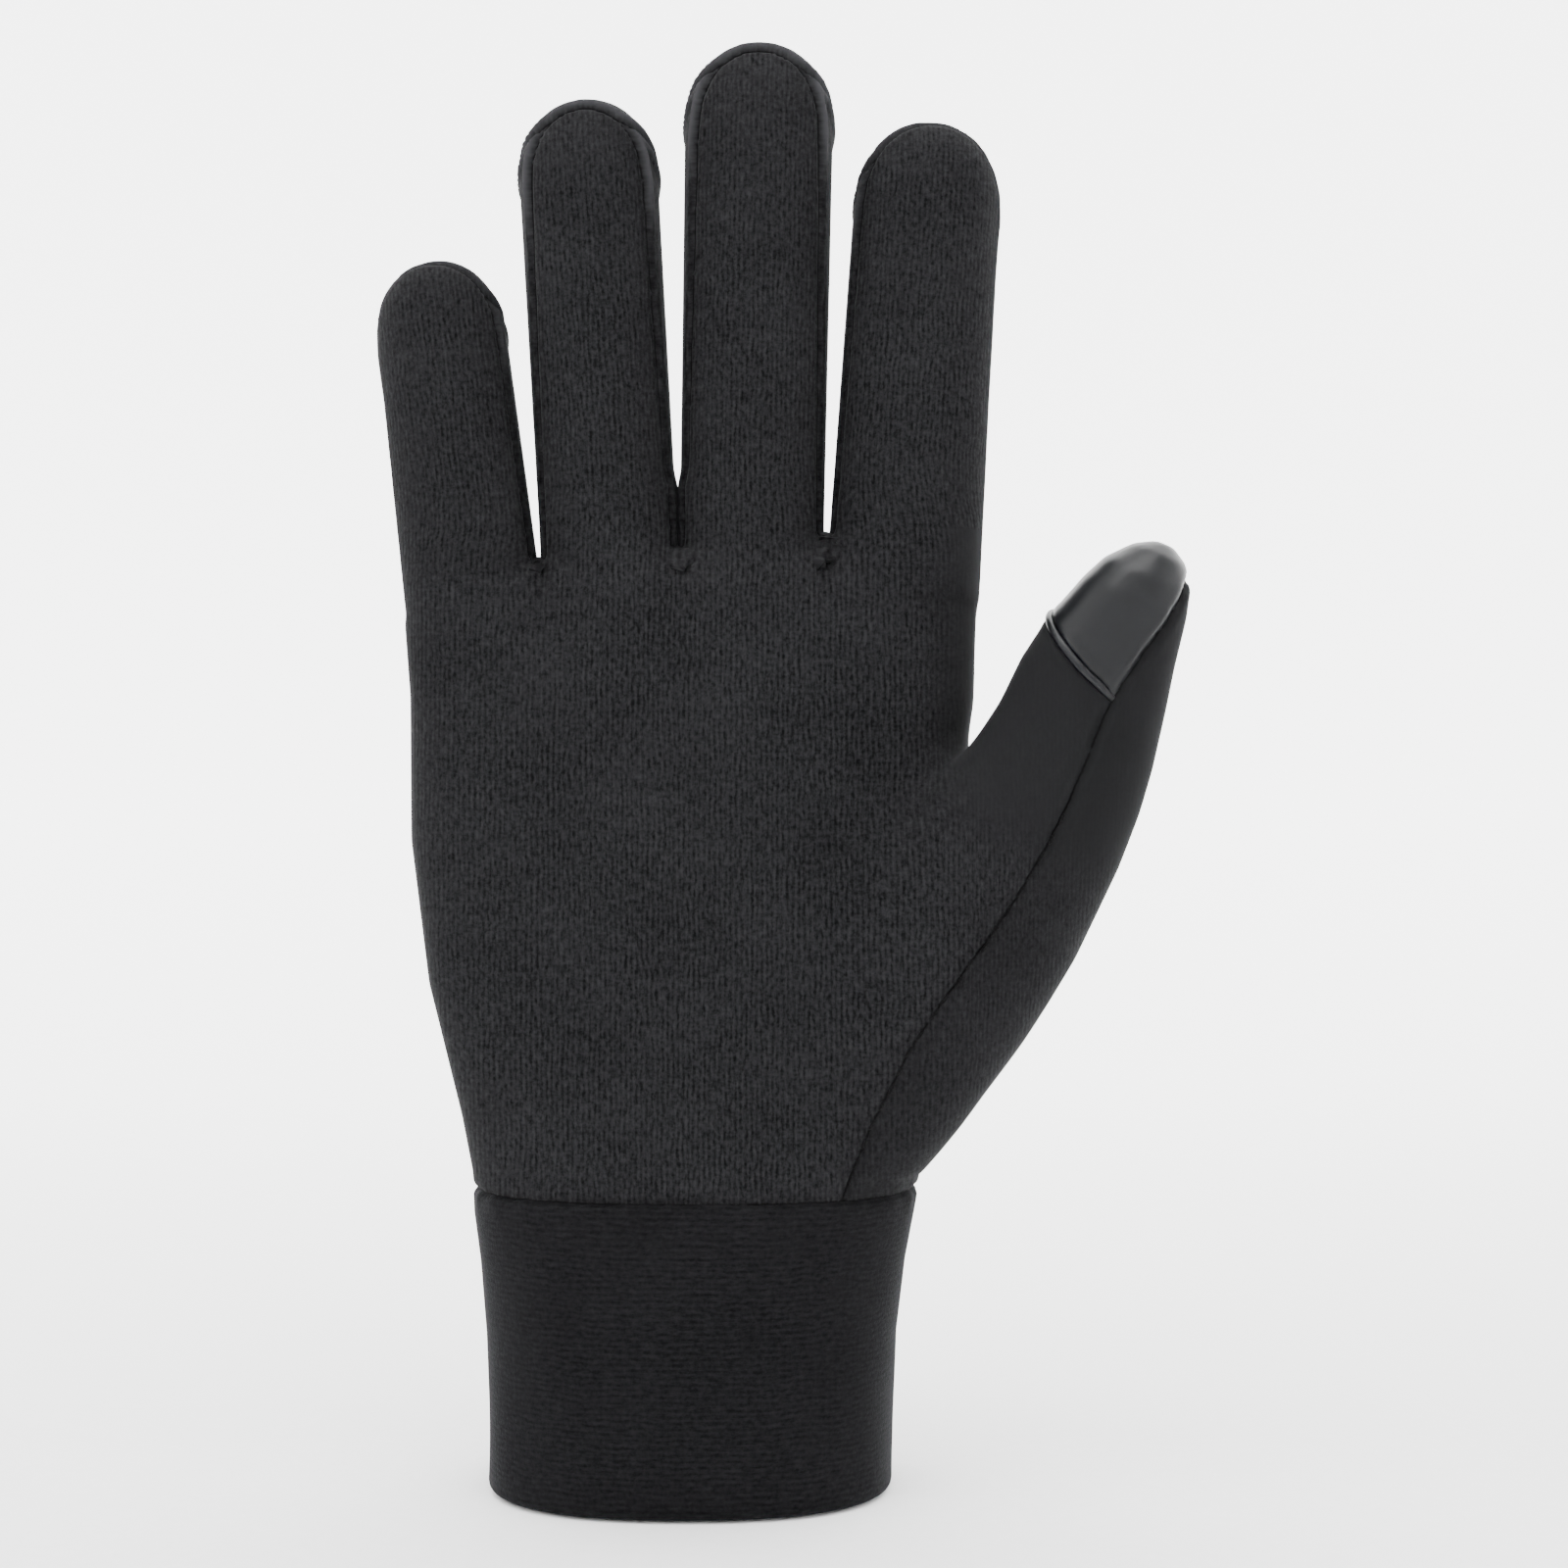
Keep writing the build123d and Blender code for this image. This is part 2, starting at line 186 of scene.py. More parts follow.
# Each pucker runs down from a crotch: (where it starts, where it has faded out), across and up.
PUCKERS = [((-24.6, 153.0), (-23.8, 144.5)), ((-1.2, 157.0), (-0.5, 147.0)), ((22.8, 157.0), (22.5, 146.0))]
PUCKER_DEPTH, PUCKER_WIDTH = 1.3, 0.75

# Cuff: (height, left edge, right edge, half depth)
CUFF = [
    (50.4, -35.6, 37.4, 21.6),
    (49.2, -36.2, 38.0, 22.3),
    (46.0, -36.2, 37.5, 22.7),
    (38.0, -35.2, 35.9, 23.3),
    (26.0, -34.3, 34.4, 24.1),
    (12.0, -33.8, 33.9, 24.7),
    (2.6, -33.8, 33.8, 25.0),
]
HEM_RADIUS = 1.35  # from the cuff's face to the middle of its two plies
CUFF_SQUARENESS = 2.4
CUFF_POINTS = 240
CUFF_ROUND = 1.68  # the way round the squared oval, over its width and depth together
OVERLOCK = (47.6, 52.4)  # heights of the overlocked allowance inside the cuff seam


# Flat cuts, in metres: no cut is narrower than a fourchette, nor emptier than this share of its rectangle
LEAST_CUT, LEAST_FILL = 0.0105, 0.31
KEY = 16  # a face's key is its panel times this, plus its stretch of glove


# ---------------------------------------------------------------- materials

def rgb(code):
    """Linear colour of an sRGB hex code."""
    channels = [int(code[i:i + 2], 16) / 255 for i in (0, 2, 4)]
    return [c / 12.92 if c <= 0.04045 else ((c + 0.055) / 1.055) ** 2.4 for c in channels] + [1.0]


def add(tree, kind, links=(), **settings):
    """A node with its settings and its input links, each (input, source socket or value)."""
    node = tree.nodes.new(kind)
    for key, value in settings.items():
        setattr(node, key, value)
    for key, source in links:
        if isinstance(source, bpy.types.NodeSocket):
            tree.links.new(source, node.inputs[key])
        else:
            node.inputs[key].default_value = source
    return node


def new_material(name):
    """A new material, its node tree and its shader."""
    material = bpy.data.materials.new(name)
    material.use_nodes = True
    return material, material.node_tree, material.node_tree.nodes["Principled BSDF"]


def knit(name, dark, light, wale, roughness, sheen):
    """Brushed knit of polyester and elastane: matt, with lengthwise ribs broken up by a short nap."""
    material, tree, shader = new_material(name)
    uv = add(tree, "ShaderNodeUVMap", uv_map="grain").outputs["UV"]
    split = add(tree, "ShaderNodeSeparateXYZ", [("Vector", uv)])
    # The ribs lie about 0.42 mm apart. They are drawn at twice that, or they would be too fine to show.
    wander = add(tree, "ShaderNodeTexNoise", [("Vector", uv), ("Scale", 160.0), ("Detail", 3.0)])
    shift = add(tree, "ShaderNodeMath", [(0, wander.outputs["Fac"]), (1, 9.0)], operation="MULTIPLY")
    turns = add(tree, "ShaderNodeMath", [(0, split.outputs["X"]), (1, 2 * pi / (wale * MM)), (2, shift.outputs[0])],
                operation="MULTIPLY_ADD")
    rib = add(tree, "ShaderNodeMath", [(0, turns.outputs[0])], operation="SINE")
    # Brushed streaks: 0.5 mm wide and two millimetres long. Nap: tufts of fibre 0.5 mm across.
    stretched = add(tree, "ShaderNodeMapping", [("Vector", uv), ("Scale", (1 / (0.5 * MM), 1 / (2.0 * MM), 1.0))])
    streak = add(tree, "ShaderNodeTexNoise", [("Vector", stretched.outputs["Vector"]), ("Scale", 1.0), ("Detail", 3.0),
                                              ("Roughness", 0.6)])
    nap = add(tree, "ShaderNodeTexNoise", [("Vector", uv), ("Scale", 1 / (0.7 * MM)), ("Detail", 4.0),
                                           ("Roughness", 0.65)])
    cloud = add(tree, "ShaderNodeTexNoise", [("Vector", uv), ("Scale", 60.0), ("Detail", 2.0)])
    tone = add(tree, "ShaderNodeMath", [(0, rib.outputs[0]), (1, 0.035), (2, 0.0)], operation="MULTIPLY_ADD")
    for source, share in ((streak, 0.42), (nap, 0.46), (cloud, 0.12)):
        tone = add(tree, "ShaderNodeMath", [(0, source.outputs["Fac"]), (1, share), (2, tone.outputs[0])],
                   operation="MULTIPLY_ADD")
    # Where the cloth is pressed smooth, the pattern all but goes.
    long_nap = add(tree, "ShaderNodeAttribute", attribute_name="nap")
    spread = add(tree, "ShaderNodeMath", [(0, tone.outputs[0]), (1, 0.5)], operation="SUBTRACT")
    spread = add(tree, "ShaderNodeMath", [(0, spread.outputs[0]), (1, long_nap.outputs["Fac"])], operation="MULTIPLY")
    level = add(tree, "ShaderNodeMapRange", [("Value", spread.outputs[0]), ("From Min", -0.13), ("From Max", 0.13)])
    cloth = add(tree, "ShaderNodeMix", [("Factor", level.outputs[0]), (6, rgb(dark)), (7, rgb(light))],
                data_type="RGBA")
    # Painted shade: the stitch line of a seam is darkened to a slightly wandering dark line, as the shade in its
    # groove.
    seam = add(tree, "ShaderNodeAttribute", attribute_name="seam")
    edge = add(tree, "ShaderNodeMath", [(0, nap.outputs["Fac"]), (1, 0.35), (2, seam.outputs["Fac"])],
               operation="MULTIPLY_ADD")
    painted_seam_shade = add(tree, "ShaderNodeMapRange", [("Value", edge.outputs[0]), ("From Min", 0.24), ("From Max", 0.50)])
    # Painted highlight: the ridge round a fingertip is painted a little paler, as the light from above catches it.
    painted_tip_highlight = add(tree, "ShaderNodeAttribute", attribute_name="painted_tip_highlight")
    tip_highlighted = add(tree, "ShaderNodeMix", [("Factor", painted_tip_highlight.outputs["Fac"]), (6, cloth.outputs[2]), (7, rgb("363638"))],
                 data_type="RGBA")
    colour = add(tree, "ShaderNodeMix", [("Factor", painted_seam_shade.outputs[0]), (6, rgb("050505")), (7, tip_highlighted.outputs[2])],
                 data_type="RGBA")
    height = add(tree, "ShaderNodeMath", [(0, spread.outputs[0]), (1, 4.0)], operation="MULTIPLY")
    bump = add(tree, "ShaderNodeBump", [("Height", height.outputs[0]), ("Strength", 0.8), ("Distance", 0.10 * MM)])
    tree.links.new(colour.outputs[2], shader.inputs["Base Color"])
    tree.links.new(bump.outputs["Normal"], shader.inputs["Normal"])
    shader.inputs["Roughness"].default_value = roughness
    shader.inputs["Specular IOR Level"].default_value = 0.05
    shader.inputs["Sheen Weight"].default_value = sheen
    shader.inputs["Sheen Roughness"].default_value = 0.4
    shader.inputs["Sheen Tint"].default_value = rgb("c8c8d0")
    return material


def coated(name):
    """Polyurethane coating cast on knit: a smooth grained skin with a soft gloss that conducts to a screen."""
    material, tree, shader = new_material(name)
    place = add(tree, "ShaderNodeTexCoord")
    grain = add(tree, "ShaderNodeTexNoise", [("Vector", place.outputs["Object"]), ("Scale", 1 / (0.5 * MM)),
                                             ("Detail", 4.0), ("Roughness", 0.6)])
    wear = add(tree, "ShaderNodeTexNoise", [("Vector", place.outputs["Object"]), ("Scale", 1 / (6 * MM)),
                                            ("Detail", 2.0)])
    bump = add(tree, "ShaderNodeBump", [("Height", grain.outputs["Fac"]), ("Strength", 0.25),
                                        ("Distance", 0.05 * MM)])
    gloss = add(tree, "ShaderNodeMapRange", [("Value", wear.outputs["Fac"]), ("To Min", 0.26), ("To Max", 0.36)])
    mix = add(tree, "ShaderNodeMix", [("Factor", wear.outputs["Fac"]), (6, rgb("090a0c")), (7, rgb("111214"))],
              data_type="RGBA")
    tree.links.new(mix.outputs[2], shader.inputs["Base Color"])
    tree.links.new(bump.outputs["Normal"], shader.inputs["Normal"])
    tree.links.new(gloss.outputs[0], shader.inputs["Roughness"])
    shader.inputs["IOR"].default_value = 1.5
    shader.inputs["Specular IOR Level"].default_value = 0.2
    return material


def thread(name):
    """Spun polyester sewing thread, dyed black: two plies twisted, with a dull lustre."""
    material, tree, shader = new_material(name)
    place = add(tree, "ShaderNodeTexCoord")
    ply = add(tree, "ShaderNodeTexWave", [("Vector", place.outputs["Object"]), ("Scale", 1 / (1.2 * MM)),
                                          ("Distortion", 1.5)], bands_direction="DIAGONAL")
    bump = add(tree, "ShaderNodeBump", [("Height", ply.outputs["Fac"]), ("Strength", 0.5), ("Distance", 0.06 * MM)])
    mix = add(tree, "ShaderNodeMix", [("Factor", ply.outputs["Fac"]), (6, rgb("040404")), (7, rgb("0b0b0c"))],
              data_type="RGBA")
    tree.links.new(mix.outputs[2], shader.inputs["Base Color"])
    tree.links.new(bump.outputs["Normal"], shader.inputs["Normal"])
    shader.inputs["Roughness"].default_value = 0.7
    shader.inputs["Specular IOR Level"].default_value = 0.08
    return material


def studio_paper(name):
    """Matt white background paper, which glows with painted light towards the back."""
    material, tree, shader = new_material(name)
    place = add(tree, "ShaderNodeTexCoord")
    tooth = add(tree, "ShaderNodeTexNoise", [("Vector", place.outputs["Object"]), ("Scale", 400.0)])
    mix = add(tree, "ShaderNodeMix", [("Factor", tooth.outputs["Fac"]), (6, rgb("f4f4f4")), (7, rgb("fafafa"))],
              data_type="RGBA")
    tree.links.new(mix.outputs[2], shader.inputs["Base Color"])
    shader.inputs["Roughness"].default_value = 0.9
    # Painted light: the paper glows, more and more towards the back, so that the sweep stays white there.
    split = add(tree, "ShaderNodeSeparateXYZ", [("Vector", place.outputs["Object"])])
    painted_glow = add(tree, "ShaderNodeMapRange", [("Value", split.outputs["Y"]), ("From Min", 0.03), ("From Max", 0.9),
                                           ("To Min", 0.0), ("To Max", 2.2)])
    tree.links.new(painted_glow.outputs[0], shader.inputs["Emission Strength"])
    shader.inputs["Emission Color"].default_value = (1, 1, 1, 1)
    return material


# ---------------------------------------------------------------- camera, floor and light

def set_camera():
    """A level camera in front of the palm."""
    camera = bpy.data.cameras.new("camera")
    camera.sensor_width = SENSOR
    camera.lens = SENSOR * CAMERA_DISTANCE / VIEW_WIDTH
    camera.clip_start = 0.01
    holder = bpy.data.objects.new("camera", camera)
    holder.location = (CAMERA_SIDE, -CAMERA_DISTANCE, CAMERA_HEIGHT)
    holder.rotation_euler = (pi / 2, 0, 0)
    bpy.context.scene.collection.objects.link(holder)
    bpy.context.scene.camera = holder


def deselect():
    bpy.ops.object.select_all(action="DESELECT")


def pick(piece):
    """Makes a piece the only one selected, and the active one."""
    deselect()
    piece.select_set(True)
    bpy.context.view_layer.objects.active = piece


def join(pieces, name):
    """Joins pieces into the first of them."""
    deselect()
    for piece in pieces:
        piece.select_set(True)
    whole = pieces[0]
    bpy.context.view_layer.objects.active = whole
    bpy.ops.object.join()
    whole.name = whole.data.name = name
    return whole


def set_stage():
    """A pale sweep of paper under and behind the glove."""
    deselect()
    bpy.ops.mesh.primitive_plane_add(size=3.0, location=(0, -0.2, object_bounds()[0][2] - 0.0002))
    floor = bpy.context.object
    floor.name = "floor"
    bpy.ops.object.mode_set(mode="EDIT")
    form = bmesh.from_edit_mesh(floor.data)
    far = max(v.co.y for v in form.verts)
    for edge in form.edges:
        edge.select_set(all(abs(v.co.y - far) < 1e-6 for v in edge.verts))
    bmesh.update_edit_mesh(floor.data)
    bpy.ops.mesh.extrude_region_move(TRANSFORM_OT_translate={"value": (0, 0, 2.0)})
    bpy.ops.mesh.select_all(action="DESELECT")
    form = bmesh.from_edit_mesh(floor.data)
    for edge in form.edges:
        edge.select_set(len(edge.link_faces) == 2)
    bmesh.update_edit_mesh(floor.data)
    bpy.ops.mesh.bevel(offset=0.8, segments=16)
    bpy.ops.object.mode_set(mode="OBJECT")
    bpy.ops.object.shade_smooth()
    floor.data.materials.append(studio_paper("White paper, matt"))
    floor.data.transform(floor.matrix_world)
    floor.matrix_world = Matrix.Identity(4)


def area_light(name, place, size, power):
    light = bpy.data.lights.new(name, "AREA")
    light.shape = "RECTANGLE"
    light.size, light.size_y = size
    light.energy = power
    holder = bpy.data.objects.new(name, light)
    holder.location = place
    aim = Vector((0.01, 0, 0.12)) - Vector(place)
    holder.rotation_euler = aim.to_track_quat("-Z", "Y").to_euler()
    bpy.context.scene.collection.objects.link(holder)


def set_light():
    """Even light from all round, with a large soft box above on the left and one on the right."""
    world = bpy.data.worlds.new("studio")
    world.use_nodes = True
    world.node_tree.nodes["Background"].inputs["Color"].default_value = (1, 1, 1, 1)
    world.node_tree.nodes["Background"].inputs["Strength"].default_value = 0.22
    bpy.context.scene.world = world
    area_light("soft_box_left", (-0.85, -0.35, 0.5), (0.6, 1.0), 1.9)
    area_light("soft_box_right", (0.9, -0.25, 0.45), (0.5, 1.0), 0.9)
    area_light("soft_box_top", (0.0, -0.3, 1.0), (0.8, 0.4), 7.0)


# ---------------------------------------------------------------- forms

def matrix_of(*columns):
    """The matrix with these three directions and this place, given in millimetres."""
    m = Matrix.Identity(4)
    for k, column in enumerate(columns):
        m.col[k][:3] = column * MM
    return m


def station(centre, half_width, half_depth, lean=0.0, forward=0.0):
    """The matrix that puts a unit ring at a section. Lean turns it towards +X, forward towards -Y."""
    a, b = lean, forward
    line = Vector((sin(a) * cos(b), -sin(b), cos(a) * cos(b)))
    across = Vector((cos(a), 0, -sin(a)))
    return matrix_of(across * half_width, line.cross(across) * half_depth, line, Vector(centre))


def loft(name, stations, squareness=2.0, points=48):
    """A closed form drawn out ring by ring: each ring is extruded from the last and set to its station."""
    deselect()
    bpy.ops.mesh.primitive_circle_add(vertices=points, radius=1.0, fill_type="NGON")
    form = bpy.context.object
    form.name = name
    bpy.ops.object.mode_set(mode="EDIT")
    mesh = bmesh.from_edit_mesh(form.data)
    for v in mesh.verts:
        a = atan2(v.co.y, v.co.x)
        grow = (abs(cos(a)) ** squareness + abs(sin(a)) ** squareness) ** (-1 / squareness)
        v.co *= grow
    last = Matrix.Identity(4)
    for k, now in enumerate(stations):
        if k:
            bpy.ops.mesh.extrude_region_move()
            mesh = bmesh.from_edit_mesh(form.data)
        ring = [v for v in mesh.verts if v.select]
        bmesh.ops.transform(mesh, matrix=now @ last.inverted(), verts=ring)
        bmesh.update_edit_mesh(form.data)
        last = now
    bpy.ops.mesh.select_all(action="SELECT")
    bpy.ops.mesh.normals_make_consistent(inside=False)
    bpy.ops.object.mode_set(mode="OBJECT")
    return form


class Stall:
    """One finger: its line through its two joints, and its half widths."""

    def __init__(self, name):
        knuckle = np.array(JOINTS[f"{name}_knuckle"]["pos_m"]) / MM
        middle = np.array(JOINTS[f"{name}_middle_joint"]["pos_m"]) / MM
        self.name = name
        self.foot = knuckle * (1, 0, 1)
        self.line = (middle - knuckle) / np.linalg.norm(middle - knuckle)
        self.across = np.array(JOINTS[f"{name}_knuckle"]["axis"])
        self.lean = atan2(self.line[0], self.line[2])
        self.middle = float((middle - knuckle) @ self.line)
        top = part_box(f"{name}_tip_back_face")[1][2] / MM
        self.top = (top - self.foot[2]) / self.line[2]
        self.split = self.middle / 2
        self.root, self.tip, self.sides = (FINGERS[name][k] for k in ("root", "tip", "sides"))

    def half_width(self, s):
        """Half width at a place along the line from the knuckle."""
        dome = DOME * self.tip
        shoulder = self.top - dome
        share = np.clip((s - STALL_FOOT) / (shoulder - STALL_FOOT), 0, 1)
        straight = self.root + (self.tip - self.root) * share
        rise = np.clip((s - shoulder) / dome, 0, 1)
        return straight * (1 - rise ** DOME_SQUARENESS) ** (1 / DOME_SQUARENESS)

    def spares(self):
        """How much slimmer the form is on its left and right while it is fused."""
        return [SPARE if side in self.sides else 0.0 for side in (-1, 1)]

    def form(self):
        left, right = self.spares()
        shoulder = self.top - DOME * self.tip
        rises = [sin(radians(a)) ** (2 / DOME_SQUARENESS) for a in (0, 15, 30, 42, 54, 64, 73, 80, 86)]
        reaches = [STALL_FOOT] + [shoulder + DOME * self.tip * r for r in rises]
        stations = []
        for s in reaches:
            w = float(self.half_width(s))
            slim = (left + right) / 2 * w / self.tip
            shift = (left - right) / 2 * w / self.tip
            centre = self.foot + self.line * s + self.across * shift
            stations.append(station(centre, w - slim, w * FINGER_DEPTH, self.lean))
        return loft(f"{self.name}_form", stations)

    def local(self, p):
        """Coordinates across, deep and along the finger."""
        d = p - self.foot
        return d @ self.across, d[:, 1], d @ self.line

    def point(self, s):
        """A point of the line, in metres."""
        return Vector((self.foot + self.line * s) * MM)


STALLS = {name: Stall(name) for name in NAMES}


def thumb_axes():
    """The thumb's across, deep and along directions: its pad faces away from deep."""
    line = np.array((sin(THUMB_LEAN) * cos(THUMB_FORWARD), -sin(THUMB_FORWARD), cos(THUMB_LEAN) * cos(THUMB_FORWARD)))
    pad = np.array((-sin(PAD_TURN), -cos(PAD_TURN), 0))
    pad -= line * (pad @ line)
    pad /= np.linalg.norm(pad)
    across = np.cross(line, pad)
    return across, -pad, line


THUMB_ACROSS, THUMB_DEEP, THUMB_LINE = thumb_axes()


def thumb_local(p):
    d = p - THUMB_START
    return d @ THUMB_ACROSS, d @ THUMB_DEEP, d @ THUMB_LINE


def palm_form():
    stations = []
    for z, left, right, half_depth, tilt in PALM:
        stations.append(station(((left + right) / 2, 0, z), (right - left) / 2, half_depth, radians(tilt)))
    return loft("palm_form", stations, PALM_SQUARENESS, 64)


def thumb_form():
    stations = []
    for x, y, z, half_width, half_depth, lean in THUMB:
        forward = THUMB_FORWARD if z > THUMB_STANDS else 0
        stations.append(station((x, y, z), half_width, half_depth, radians(lean), forward))
    return loft("thumb_form", stations)


def apply_modifier(piece, kind, **settings):
    modifier = piece.modifiers.new(kind.lower(), kind)
    for key, value in settings.items():
        setattr(modifier, key, value)
    bpy.context.view_layer.objects.active = piece
    bpy.ops.object.modifier_apply(modifier=modifier.name)


def read(items, name, kind=float, width=1):
    """One number, or a row of them, from each of a mesh's items."""
    values = np.empty(len(items) * width, kind)
    items.foreach_get(name, values)
    return values.reshape(-1, width) if width > 1 else values


def points_of(mesh):
    return read(mesh.vertices, "co", width=3) / MM


def set_points(mesh, p):
    mesh.vertices.foreach_set("co", (p * MM).ravel())
    mesh.update()


def normals_of(mesh):
    return read(mesh.vertices, "normal", width=3)


def centres_of(mesh):
    return read(mesh.polygons, "center", width=3) / MM


def corners_of(mesh):
    """The vertex of each face corner."""
    return read(mesh.loops, "vertex_index", int)


def face_sizes(mesh):
    """How many corners each face has."""
    return read(mesh.polygons, "loop_total", int)


def select_faces(mesh, picked):
    """Selects the picked faces and nothing else."""
    mesh.polygons.foreach_set("select", picked)
    mesh.edges.foreach_set("select", np.zeros(len(mesh.edges), bool))
    mesh.vertices.foreach_set("select", np.zeros(len(mesh.vertices), bool))


def smooth_step(t):
    t = np.clip(t, 0, 1)
    return t * t * (3 - 2 * t)


def fuse_skin():
    """One closed skin from the palm, the fingers and the thumb, smoothed where they run together."""
    skin = join([palm_form(), thumb_form()] + [s.form() for s in STALLS.values()], "skin")
    apply_modifier(skin, "REMESH", mode="VOXEL", voxel_size=VOXEL * MM)
    apply_modifier(skin, "SMOOTH", factor=0.5, iterations=6)
    p = points_of(skin.data)
    # The ball of the thumb and the web run into the palm without a crease.
    body = smooth_step((p[:, 2] - 56) / 10) * smooth_step((132 - p[:, 2]) / 10)
    body *= smooth_step((p[:, 0] - 2) / 16) * (1 - 0.85 * smooth_step((p[:, 0] - 52) / 8))
    # The fingers' roots run into the palm's front and back.
    roots = smooth_step((p[:, 2] - 138) / 6) * smooth_step((160 - p[:, 2]) / 8)
    roots *= smooth_step((np.abs(p[:, 1]) - 6) / 2.5) * (p[:, 0] < 54)
    for name, weight, iterations in (("body", body, 260), ("roots", roots, 60)):
        group = skin.vertex_groups.new(name=name)
        for i in np.flatnonzero(weight > 0.01):
            group.add([int(i)], float(weight[i]), "REPLACE")
        apply_modifier(skin, "SMOOTH", factor=0.5, iterations=iterations, vertex_group=name)
    return skin


def nearest_finger(p):
    """The number of the finger whose line is nearest."""
    gaps = [np.abs(stall.local(p)[0]) - stall.root for stall in STALLS.values()]
    return np.argmin(gaps, axis=0)


def is_thumb(p):
    """True on the thumb above the web."""
    edge_x, edge_z, lean = THUMB_EDGE
    return p[:, 0] > edge_x + (p[:, 2] - edge_z) * lean


def kiss_swell(stall, side, z):
    """How far a finger's side swells towards the neighbour that it touches."""
    if stall.name not in KISS or side != (1 if stall.name == KISS[0] else -1):
        return np.zeros_like(z)
    left, right = (STALLS[name] for name in KISS)
    edges = [f.foot[0] + (z - f.foot[2]) * f.line[0] / f.line[2] + way * f.half_width((z - f.foot[2]) / f.line[2])
             for f, way in ((left, 1), (right, -1))]
    return np.clip((edges[1] - edges[0] - KISS_GAP) / 2, 0, 0.8) * smooth_step((KISS_TOP + 5 - z) / 5)


def let_out_fingers(skin):
    """Lets the fingers out to their full width, so that neighbours nearly touch."""
    p = points_of(skin.data)
    finger = nearest_finger(p)
    for k, stall in enumerate(STALLS.values()):
        x, y, s = stall.local(p)
        on = (finger == k) & ~is_thumb(p)
        w = np.maximum(stall.half_width(s), 0.5)
        grow = np.ones_like(x)
        for side, spare in zip((-1, 1), stall.spares()):
            wider = (w + kiss_swell(stall, side, p[:, 2])) / (w * (1 - spare / stall.tip))
            grow = np.where(x * side > 0, np.where(spare > 0, wider, 1), grow)
        amount = smooth_step((p[:, 2] - LET_OUT_FROM) / LET_OUT_OVER) * on
        p += (x * (grow - 1) * amount)[:, None] * stall.across
    set_points(skin.data, p)


# ---------------------------------------------------------------- seams

def seam_x(z):
    """Where the thumb seam runs across at each height, seen from the palm."""
    xs, zs = zip(*THUMB_SEAM)
    return np.interp(z, zs, xs)


def web_plane():
    """The plane of the thumb's inner seam: it passes through the web and goes over the thumb's tip at its back."""
    over = THUMB_START + THUMB_LINE * 20 + THUMB_DEEP * 5
    normal = np.cross(THUMB_ACROSS, over - WEB)
    normal /= np.linalg.norm(normal)
    return normal if normal @ THUMB_DEEP > 0 else -normal


WEB_NORMAL = web_plane()


def front_edge(stall, x, s):
    """How deep a finger's front seam lies: it runs to the middle on a side with no neighbour."""
    rise = FRONT_RISE * (s + FRONT_START)
    if len(stall.sides) == 2:
        return -(FRONT_FOOT + rise)
    return -OUTER_SHARE * (FRONT_FOOT * (1 + stall.sides[0] * x / stall.root) / 2 + rise)


def back_edge(stall, s):
    """How deep the back seam of a side wall lies: the wall narrows to a point near the fingertip."""
    narrow = np.clip((s - (stall.top - WALL_TAPER * stall.tip)) / (WALL_TAPER_LENGTH * stall.tip), 0, None)
    return FOURCHETTE_HALF * (1 - 2 * narrow)


PALM_PANEL, BACK_PANEL, PATCH = 0, 1, 5


def panels_of(p):
    """The panel of each point: palm, back, three fourchettes or touch patch."""
    x, y, z = p.T
    thumb = is_thumb(p)
    inner = np.where(x < WEB[0], y < 0, (p - WEB) @ WEB_NORMAL < 0)
    front = inner & (x < seam_x(z))
    panel = np.where(front, PALM_PANEL, BACK_PANEL)
    tx, _, tz = thumb_local(p)
    rise = tz + PATCH_SLANT * tx
    panel = np.where(thumb & front & (rise > PATCH_EDGE), PATCH, panel)
    finger = nearest_finger(p)
    for k, stall in enumerate(STALLS.values()):
        fx, fy, fs = stall.local(p)
        on = (finger == k) & (z > FINGER_FLOOR) & ~thumb
        ahead = fy < front_edge(stall, fx, fs)
        panel = np.where(on, np.where(ahead, PALM_PANEL, BACK_PANEL), panel)
        for side in stall.sides:
            wall = on & ~ahead & (fy < back_edge(stall, fs)) & (fx * side > 0)
            panel = np.where(wall, 2 + k - (side < 0), panel)
    return panel


SEGMENTS = ["hand"] + [f"{name}_{part}" for name in NAMES for part in ("base", "tip")] + ["thumb"]


def segments_of(p):
    """The number of the stretch of glove, between bends, that each point lies in."""
    segment = np.zeros(len(p), int)
    finger = nearest_finger(p)
    thumb = is_thumb(p)
    for k, stall in enumerate(STALLS.values()):
        s = stall.local(p)[2]
        on = (finger == k) & ~thumb
        segment = np.where(on & (s > -KNUCKLE_HALF), 1 + 2 * k, segment)
        segment = np.where(on & (s > stall.split), 2 + 2 * k, segment)
    along = thumb_local(p)[2]
    return np.where(thumb & (along > THUMB_BEND[0]), len(SEGMENTS) - 1, segment)


def cut(skin, rule, point, normal):
    """Cuts the skin's faces that the rule picks along a plane, so that an edge runs there."""
    centres = centres_of(skin.data)
    reach = np.abs((centres - point) @ normal) < 3 * VOXEL
    select_faces(skin.data, rule(centres) & reach)
    bpy.ops.object.mode_set(mode="EDIT")
    bpy.ops.mesh.bisect(plane_co=tuple(np.array(point) * MM), plane_no=tuple(normal), threshold=0.12 * MM)
    bpy.ops.object.mode_set(mode="OBJECT")


